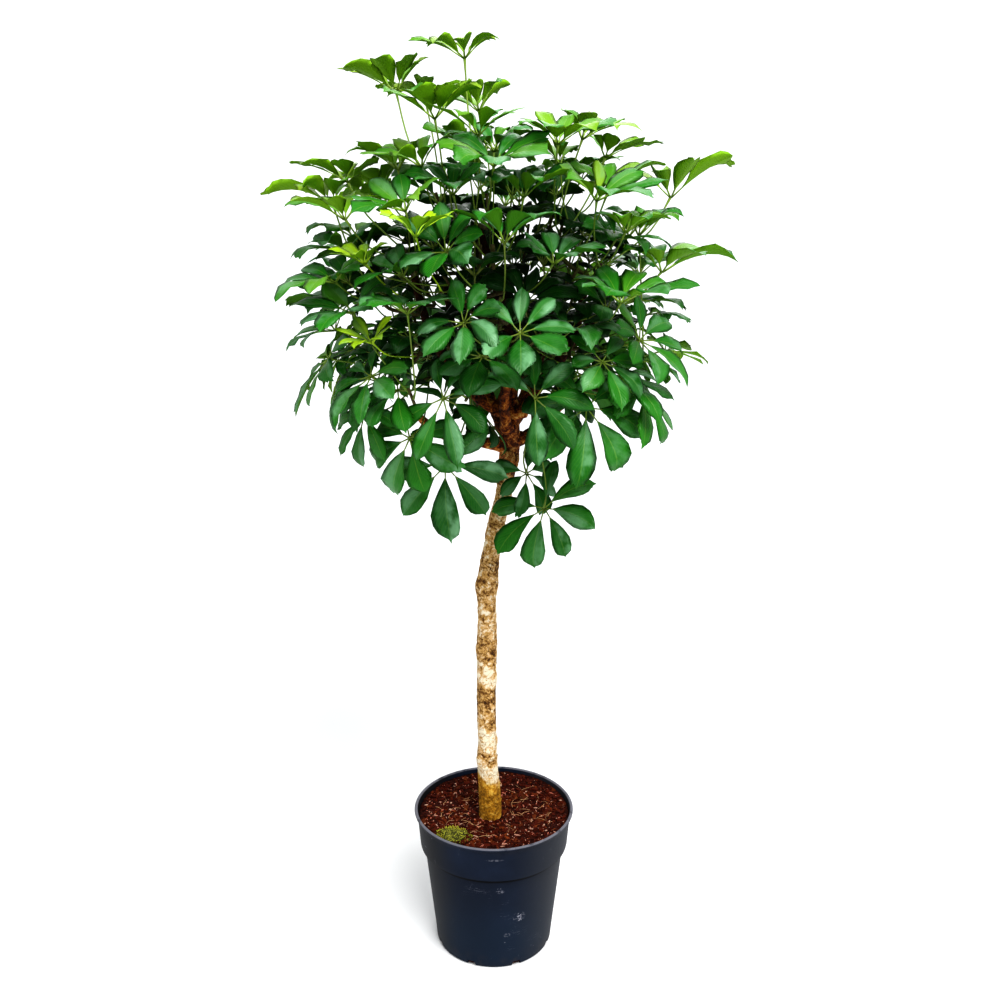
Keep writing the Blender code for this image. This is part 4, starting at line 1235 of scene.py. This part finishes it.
def fibre_material(settings):
    """Dry straw-coloured fibre, browner in places."""
    paint = Paint("fibre_finish")
    speck = paint.noise(300.0, 3.0)
    tone = paint.mix(settings.fibre, (0.22, 0.10, 0.04), speck.rise(0.40, 0.75))
    return paint.finish(tone, 0.7 + speck * 0.15, (speck, 0.0002, 0.6))


# The moss spreads from its CAD solid towards the rim: how far its middle moves, and how many times
# as deep it is.
MOSS_SHIFT = (-0.001, -0.015, 0.0)
MOSS_STRETCH = 1.8


class PLANT_OT_moss(PieceOperator):
    """Grow the small cushion of moss at the front left"""
    bl_idname = "plant.moss"
    bl_label = "Moss"

    def execute(self, context):
        settings = context.scene.plant_moss
        top = MixTop(context.scene.plant_mix.relief)
        low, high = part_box("moss")
        centre = (low + high) / 2
        patch = centre + Vector(MOSS_SHIFT)
        bm = cad_copy("moss")
        bmesh.ops.triangulate(bm, faces=bm.faces)
        bmesh.ops.subdivide_edges(bm, edges=bm.edges, cuts=2, use_grid_fill=True)
        for corner in bm.verts:
            lift = corner.co.z - top.height(corner.co.x, corner.co.y)
            corner.co.x += patch.x - centre.x
            corner.co.y = patch.y + (corner.co.y - centre.y) * MOSS_STRETCH
            corner.co.z = top.height(corner.co.x, corner.co.y) + lift
            lump = noise.noise(corner.co * 260.0) * 0.0009 + noise.noise(corner.co * 110.0) * 0.0012
            corner.co += (corner.co - patch + UP * 0.004).normalized() * (lump + 0.0002)
        reach = Vector((high.x - centre.x, (high.y - centre.y) * MOSS_STRETCH, 0.0))
        add_sprigs(bm, settings, patch, reach, top)
        made = [moss_material(name, settings, bright)
                for name, bright in (("moss_finish", 0.50), ("sprig_finish", 0.90))]
        finish_piece("moss_cushion", bm, made, "moss")
        return {"FINISHED"}


def add_sprigs(bm, settings, centre, reach, top):
    """Small tapered leaves of moss that stand up from the cushion and from the mix around it."""
    whim = random.Random(47)
    cone = bmesh.new()
    bmesh.ops.create_cone(cone, cap_ends=True, segments=4, radius1=1.0, radius2=0.25, depth=1.0)
    sprig = as_mesh(cone, "sprig")
    for _ in range(settings.sprigs):
        angle = whim.uniform(0, math.tau)
        out = math.sqrt(whim.random()) * 1.3
        spot = Vector((centre.x + math.cos(angle) * out * reach.x,
                       centre.y + math.sin(angle) * out * reach.y, 0.0))
        spot.z = top.height(spot.x, spot.y) + max(0.0, 1.0 - out * out) * 0.0024
        back = (spot.y - centre.y) / reach.y - 0.4 * (spot.x - centre.x) / reach.x
        tall = whim.uniform(0.0012, 0.0026) + 0.0018 * max(0.0, back)
        lean = Vector((whim.uniform(-0.7, 0.7), whim.uniform(-0.7, 0.7), 1.0)).normalized()
        turn = UP.rotation_difference(lean)
        for corner in add_copy(bm, sprig, int(back > whim.uniform(-1.1, 1.0))):
            size = Vector((corner.co.x * 0.0007, corner.co.y * 0.0007, (corner.co.z + 0.4) * tall))
            corner.co = spot + turn @ size


def moss_material(name, settings, bright):
    """Olive moss; bright is the share of it that is yellow-green."""
    paint = Paint(name)
    patch = paint.noise(420.0, 3.0, 0.7)
    tips = patch.rise(0.72 - bright * 0.5, 0.92 - bright * 0.5)
    return paint.finish(paint.mix(settings.dark, settings.bright, tips), 0.72 + patch * 0.15,
                        (patch, 0.0006, 0.8), 0.2)


# ---- trunk and limbs ----

# Knobs left by old leaf stalks and twigs: height, bearing in degrees from the right, how far each
# stands out, and how tall it is.
KNOBS = (
    (0.577, 200, 0.0042, 0.012), (0.300, 195, 0.0022, 0.009), (0.330, 12, 0.0030, 0.010),
    (0.478, 188, 0.0018, 0.008), (0.432, 350, 0.0018, 0.008), (0.655, 190, 0.0016, 0.006),
    (0.767, 250, 0.0036, 0.012), (0.760, 300, 0.0032, 0.010), (0.700, 330, 0.0018, 0.007),
    (0.250, 260, 0.0014, 0.007), (0.390, 100, 0.0026, 0.009), (0.520, 60, 0.0026, 0.010),
    (0.620, 120, 0.0026, 0.009), (0.815, 230, 0.0050, 0.012), (0.840, 320, 0.0046, 0.012),
)
# Heights of the leaf scars that ring the trunk.
SCARS = (0.231, 0.262, 0.305, 0.352, 0.401, 0.455, 0.492, 0.541, 0.612, 0.640, 0.668, 0.700,
         0.731, 0.757, 0.778)
# How many cells go round and along the trunk's skin, and round a limb's; the length of a limb's.
TRUNK_AROUND, TRUNK_ALONG = 44, 300
LIMB_AROUND, LIMB_CELL = 18, 0.0028


def measured(ring):
    """The centre and the mean radius of a ring of corners."""
    centre = middle_of(ring)
    return centre, sum(sorted((corner.co - centre).length for corner in ring)) / len(ring)


def ring_centres(node):
    """Centres and radii of a CAD limb's rings, walked from its flat end to the other."""
    bm = cad_copy(node)
    flat = bm.copy()
    bmesh.ops.dissolve_limit(flat, angle_limit=0.01, verts=flat.verts, edges=flat.edges)
    cap = next(face for face in flat.faces if is_round(face))
    ring = {min(bm.verts, key=lambda corner: (corner.co - loop.vert.co).length) for loop in cap.loops}
    flat.free()
    used = set()
    rings = []
    while ring:
        rings.append(measured(ring))
        used |= ring
        ring = {edge.other_vert(corner) for corner in ring for edge in corner.link_edges} - used
    bm.free()
    return rings


def is_round(face):
    """Whether a face is a regular polygon of six corners."""
    centre = face.calc_center_median()
    reach = [(corner.co - centre).length for corner in face.verts]
    return len(reach) == 6 and max(reach) - min(reach) < 0.03 * max(reach)


def trunk_rings():
    """The trunk's rings lie level, so they are told apart by height."""
    bm = cad_copy("trunk")
    order = sorted(bm.verts, key=lambda corner: corner.co.z)
    rings = []
    for start in range(0, len(order), TRUNK_SIDES):
        rings.append(measured(order[start:start + TRUNK_SIDES]))
    bm.free()
    return rings


def knob_height(place, turn):
    """How far knobs and scars lift the bark at a place."""
    lift = 0.0
    for height, bearing, out, tall in KNOBS:
        off = (turn * 360.0 - bearing + 180.0) % 360.0 - 180.0
        spread = (off / 34.0) ** 2 + ((place.z - height) / tall) ** 2
        if spread < 6.0:
            lift += out * math.exp(-spread)
    for scar in SCARS:
        gap = place.z - scar - 0.0015 * math.sin(turn * math.tau + scar * 90.0)
        if abs(gap) < 0.006:
            lift += 0.0006 * math.exp(-(gap / 0.0016) ** 2)
            lift -= 0.0005 * math.exp(-((gap - 0.003) / 0.0012) ** 2)
    return lift


class PLANT_OT_trunk(PieceOperator):
    """Grow the bare trunk with its knobs, scars and flaking bark"""
    bl_idname = "plant.trunk"
    bl_label = "Trunk"

    def execute(self, context):
        settings = context.scene.plant_wood
        rings = trunk_rings()
        route = Route([centre for centre, _ in rings], 6)
        heights = [centre.z for centre, _ in rings]
        radii = [radius for _, radius in rings]

        def radius(turn, run, place):
            """How far the bark stands from the middle, which narrows at the very top."""
            index = 0
            while index < len(heights) - 2 and heights[index + 1] < place.z:
                index += 1
            t = clamp((place.z - heights[index]) / (heights[index + 1] - heights[index]))
            t = t * t * (3 - 2 * t)
            reach = radii[index] + (radii[index + 1] - radii[index]) * t
            flakes = grain_at(place, 160, 110)
            fine = grain_at(place, 420, 360)
            swell = grain_at(place, 40, 26)
            top = max(0.0, (run - 0.975) / 0.025)
            return (reach + knob_height(place, turn) + 0.0009 * swell
                    + settings.relief * (0.6 * flakes + 0.4 * fine)) * (1.0 - 0.30 * top * top)

        bm = bmesh.new()
        tube_skin(bm, route, TRUNK_AROUND, TRUNK_ALONG, radius)
        finish_piece("trunk_wood", bm, [trunk_material(settings)], "trunk")
        return {"FINISHED"}


# How light the bark is up the trunk: height in metres and lightness from 0 to 1.
BARK_BANDS = (
    (0.140, 0.42), (0.262, 0.52), (0.270, 0.84), (0.290, 0.80), (0.300, 0.34), (0.310, 0.66),
    (0.318, 0.80), (0.344, 0.78), (0.356, 0.40), (0.390, 0.32), (0.412, 0.36), (0.424, 0.76),
    (0.446, 0.72), (0.458, 0.36), (0.482, 0.36), (0.500, 0.52), (0.552, 0.50), (0.574, 0.40),
    (0.594, 0.48), (0.612, 0.36), (0.622, 0.50), (0.690, 0.54), (0.710, 0.46), (0.750, 0.44),
    (0.762, 0.24), (0.776, 0.54), (0.790, 0.30), (0.850, 0.26),
)
# The stretch of height that the bands' ramp covers.
BARK_FOOT, BARK_REACH = 0.14, 0.72


def trunk_material(settings):
    """Mottled bark from brown pits to cream flakes, with an ochre foot and a red-brown top."""
    paint = Paint("trunk_bark")
    high = paint.axis("Z") + (paint.noise(60.0, 4.0) - 0.5) * 0.034 + paint.axis("X") * 0.5
    light = paint.ramp((high - BARK_FOOT) * (1.0 / BARK_REACH),
                       [((height - BARK_FOOT) / BARK_REACH, (value,) * 3)
                        for height, value in BARK_BANDS])
    plates = paint.noise(115.0, 4.0, 0.66, paint.warped(60.0, 0.014))
    flakes = paint.noise(310.0, 3.0, 0.65)
    cells = paint.cells(85.0, "DISTANCE_TO_EDGE", paint.warped(120.0, 0.012))
    crack = cells.rise(0.040, 0.0) * plates.rise(0.42, 0.52)
    level = (light + (paint.noise(42.0, 3.0) - 0.5) * 0.9 + (plates - 0.5) * 2.0
             + (flakes - 0.5) * 0.95 - crack * 0.40)
    pit = scaled(settings.brown, 0.35)
    tone = paint.ramp(level, [(0.02, pit), (0.20, settings.brown), (0.42, settings.tan),
                              (0.60, (0.58, 0.38, 0.19)), (0.80, settings.cream)])
    ochre = paint.ramp(level, [(0.02, scaled(settings.ochre, 0.25)),
                               (0.50, settings.ochre), (0.85, (0.62, 0.40, 0.08))])
    red = paint.ramp(level, [(0.0, scaled(settings.red, 0.16)), (0.25, settings.red),
                             (0.45, (0.46, 0.17, 0.035)), (0.70, (0.66, 0.40, 0.16))])
    upper = high.rise(0.742, 0.765) * high.rise(0.800, 0.770).highest(high.rise(0.782, 0.800))
    tone = paint.coat(tone, (ochre, high.rise(0.275, 0.262)), (red, upper))
    return paint.finish(tone, 0.66 + flakes * 0.25, (level, 0.0020, 0.9), 0.3)


class PLANT_OT_limbs(PieceOperator):
    """Grow the limbs of the fork, run on into the trunk"""
    bl_idname = "plant.limbs"
    bl_label = "Limbs"

    def execute(self, context):
        made = limb_material(context.scene.plant_wood)
        for node in [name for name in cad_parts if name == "leader" or name.startswith("limb_")]:
            grow_limb(node, made)
        return {"FINISHED"}


def grow_limb(node, material):
    """A knotty skin round a CAD limb, run on into the wood that carries it."""
    rings = ring_centres(node)
    if rings[0][1] < rings[-1][1]:
        rings.reverse()
    points = [centre for centre, _ in rings]
    foot_radius, end_radius = rings[0][1], rings[-1][1]
    inward = (points[0] - points[1]).normalized()
    route = Route([points[0] + inward * LIMB_RUN_IN] + points, 6)
    seed = sum(ord(letter) for letter in node)

    def radius(turn, run, place):
        """How far the bark stands from the middle: a collar at the foot, and a rounded end."""
        reach = foot_radius + (end_radius - foot_radius) * run
        collar = 0.0045 * math.exp(-(run * route.total / 0.017) ** 2)
        knots = grain_at(place, 70, 70, seed)
        fine = grain_at(place, 300, 300)
        end = max(0.0, (run - 0.97) / 0.03)
        return (reach + collar + 0.0013 * knots + 0.0006 * fine) * (1.0 - 0.55 * end * end)

    bm = bmesh.new()
    tube_skin(bm, route, LIMB_AROUND, max(30, round(route.total / LIMB_CELL)), radius)
    finish_piece(f"{node}_wood", bm, [material], node)


def limb_material(settings):
    """Rough red-brown bark with orange and ochre scars, darkened to nearly black up in the crown as
    painted shade.
    """
    paint = Paint("limb_bark_finish")
    plates = paint.noise(95.0, 4.0, 0.66, paint.warped(60.0, 0.014))
    flakes = paint.noise(310.0, 3.0, 0.65)
    level = (0.36 + (paint.noise(34.0, 3.0) - 0.5) * 0.8 + (plates - 0.5) * 1.9
             + (flakes - 0.5) * 0.9)
    tone = paint.ramp(level, [(0.05, (0.012, 0.004, 0.003)), (0.32, settings.red),
                              (0.55, (0.44, 0.150, 0.024)), (0.85, (0.66, 0.42, 0.14))])
    # Painted shade: the limbs darken to nearly black up inside the crown.
    tone = paint.mix(tone, scaled(settings.red, 0.10),
                     paint.axis("Z").rise(0.860, 0.915) * 0.88)
    return paint.finish(tone, 0.66 + flakes * 0.25, (level, 0.0022, 0.9), 0.2)


# ---- foliage operators ----

class PLANT_OT_foliage(PieceOperator):
    """Grow every shoot's twig, stalks and glossy leaflets, and the three young leaves"""
    bl_idname = "plant.foliage"
    bl_label = "Foliage"

    def execute(self, context):
        settings = context.scene.plant_leaf
        crown = Crown(settings)
        stalk = stalk_material("stalk_finish", settings, settings.stalk)
        twig = twig_material("twig_bark", settings)
        old = [blade_material("leaf_finish", settings), stalk, twig]
        new = [blade_material("young_leaf_finish", settings, young=True),
               stalk_material("young_stalk_finish", settings, settings.young), twig]
        for node in sorted(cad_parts):
            if node.startswith("young_leaf"):
                crown.grow(node, new)
            elif node.startswith("shoot_"):
                crown.grow(node, old)
        return {"FINISHED"}


# ---- stage ----

# The square lamps: place, side and share of the main lamp's power.
LAMPS = {
    "key_lamp": ((0.9, -1.9, 3.3), 2.0, 1.0),
    "fill_lamp": ((-2.3, -1.4, 2.4), 2.2, 0.08),
    "back_lamp": ((0.6, 2.6, 2.8), 2.2, 0.22),
}
LIT_SPOT = Vector((0.0, 0.0, 0.9))
# The camera: its place, how many degrees it dips, its lens and sensor in millimetres, its shift.
CAMERA_PLACE = (0.0, -1.495, 1.113)
CAMERA_DIP = 15.3
CAMERA_LENS, CAMERA_WIDTH = 39.6, 36.0
CAMERA_SHIFT = 0.0062
FLOOR_RADIUS = 2.3


class PLANT_OT_stage(PieceOperator):
    """Lay the pale floor, hang the soft lamps and set the camera"""
    bl_idname = "plant.stage"
    bl_label = "Stage"

    def execute(self, context):
        settings = context.scene.plant_stage
        bm = bmesh.new()
        bmesh.ops.create_circle(bm, cap_ends=True, segments=128, radius=FLOOR_RADIUS)
        floor = linked("floor", as_mesh(bm, "floor"))
        paint = Paint("floor_finish")
        dust = paint.noise(3.0, 3.0)
        tone = paint.mix(settings.floor, scaled(settings.floor, 0.97), dust)
        floor.data.materials.append(paint.set(Base_Color=tone, Roughness=0.85))
        add_sky(context.scene, settings)
        for name, (place, side, part) in LAMPS.items():
            add_lamp(name, place, side, settings.lamp_power * part)
        add_camera(context.scene)
        context.scene.view_settings.view_transform = "Standard"
        context.scene.view_settings.look = "High Contrast"
        return {"FINISHED"}


def add_sky(scene, settings):
    """A white backdrop whose light on the plant is softer than it looks."""
    world = bpy.data.worlds.new("backdrop")
    world.use_nodes = True
    seen = Wire(world.node_tree).node("ShaderNodeLightPath", output="Is Camera Ray")
    strength = settings.sky_strength * (settings.fill_share + seen * (1.0 - settings.fill_share))
    background = world.node_tree.nodes["Background"]
    background.inputs["Color"].default_value = (*settings.sky, 1.0)
    world.node_tree.links.new(strength.socket, background.inputs["Strength"])
    scene.world = world


def add_lamp(name, place, side, power):
    """A square lamp that points at the plant."""
    lamp = bpy.data.lights.new(name, "AREA")
    lamp.shape = "SQUARE"
    lamp.size = side
    lamp.energy = power
    item = linked(name, lamp)
    item.location = place
    item.rotation_euler = (LIT_SPOT - Vector(place)).to_track_quat("-Z", "Y").to_euler()


def add_camera(scene):
    """A camera in front of the plant that looks a little down on it."""
    lens = bpy.data.cameras.new("camera")
    lens.lens = CAMERA_LENS
    lens.sensor_width = CAMERA_WIDTH
    lens.shift_x = CAMERA_SHIFT
    scene.camera = linked("camera", lens)
    scene.camera.location = CAMERA_PLACE
    scene.camera.rotation_euler = (math.radians(90.0 - CAMERA_DIP), 0.0, 0.0)


# ---- panel and registration ----

OPERATORS = (PLANT_OT_pot, PLANT_OT_mix, PLANT_OT_moss, PLANT_OT_trunk, PLANT_OT_limbs,
             PLANT_OT_foliage, PLANT_OT_stage)
SETTINGS = {"plant_pot": PotSettings, "plant_mix": MixSettings, "plant_moss": MossSettings,
            "plant_wood": WoodSettings, "plant_leaf": LeafSettings, "plant_stage": StageSettings}


class PLANT_PT_sidebar(bpy.types.Panel):
    """Lists the plant's pieces and their settings"""
    bl_idname = "PLANT_PT_sidebar"
    bl_label = "Umbrella plant"
    bl_space_type = "VIEW_3D"
    bl_region_type = "UI"
    bl_category = "Plant"

    def draw(self, context):
        for operator in OPERATORS:
            self.layout.operator(operator.bl_idname)
        for name, group in SETTINGS.items():
            box = self.layout.box()
            box.label(text=name.split("_")[1].capitalize())
            for key in group.__annotations__:
                box.prop(getattr(context.scene, name), key)


def register():
    """Add the settings, the operators and the panel."""
    for group in SETTINGS.values():
        bpy.utils.register_class(group)
    for name, group in SETTINGS.items():
        setattr(bpy.types.Scene, name, PointerProperty(type=group))
    for operator in OPERATORS:
        bpy.utils.register_class(operator)
    bpy.utils.register_class(PLANT_PT_sidebar)


def unregister():
    """Take the panel, the operators and the settings away."""
    bpy.utils.unregister_class(PLANT_PT_sidebar)
    for operator in reversed(OPERATORS):
        bpy.utils.unregister_class(operator)
    for name, group in reversed(SETTINGS.items()):
        delattr(bpy.types.Scene, name)
        bpy.utils.unregister_class(group)


def main():
    """Make the whole plant and its stage."""
    register()
    bpy.ops.plant.pot()
    bpy.ops.plant.mix()
    bpy.ops.plant.moss()
    bpy.ops.plant.trunk()
    bpy.ops.plant.limbs()
    bpy.ops.plant.foliage()
    bpy.ops.plant.stage()


if __name__ == "__main__":
    main()
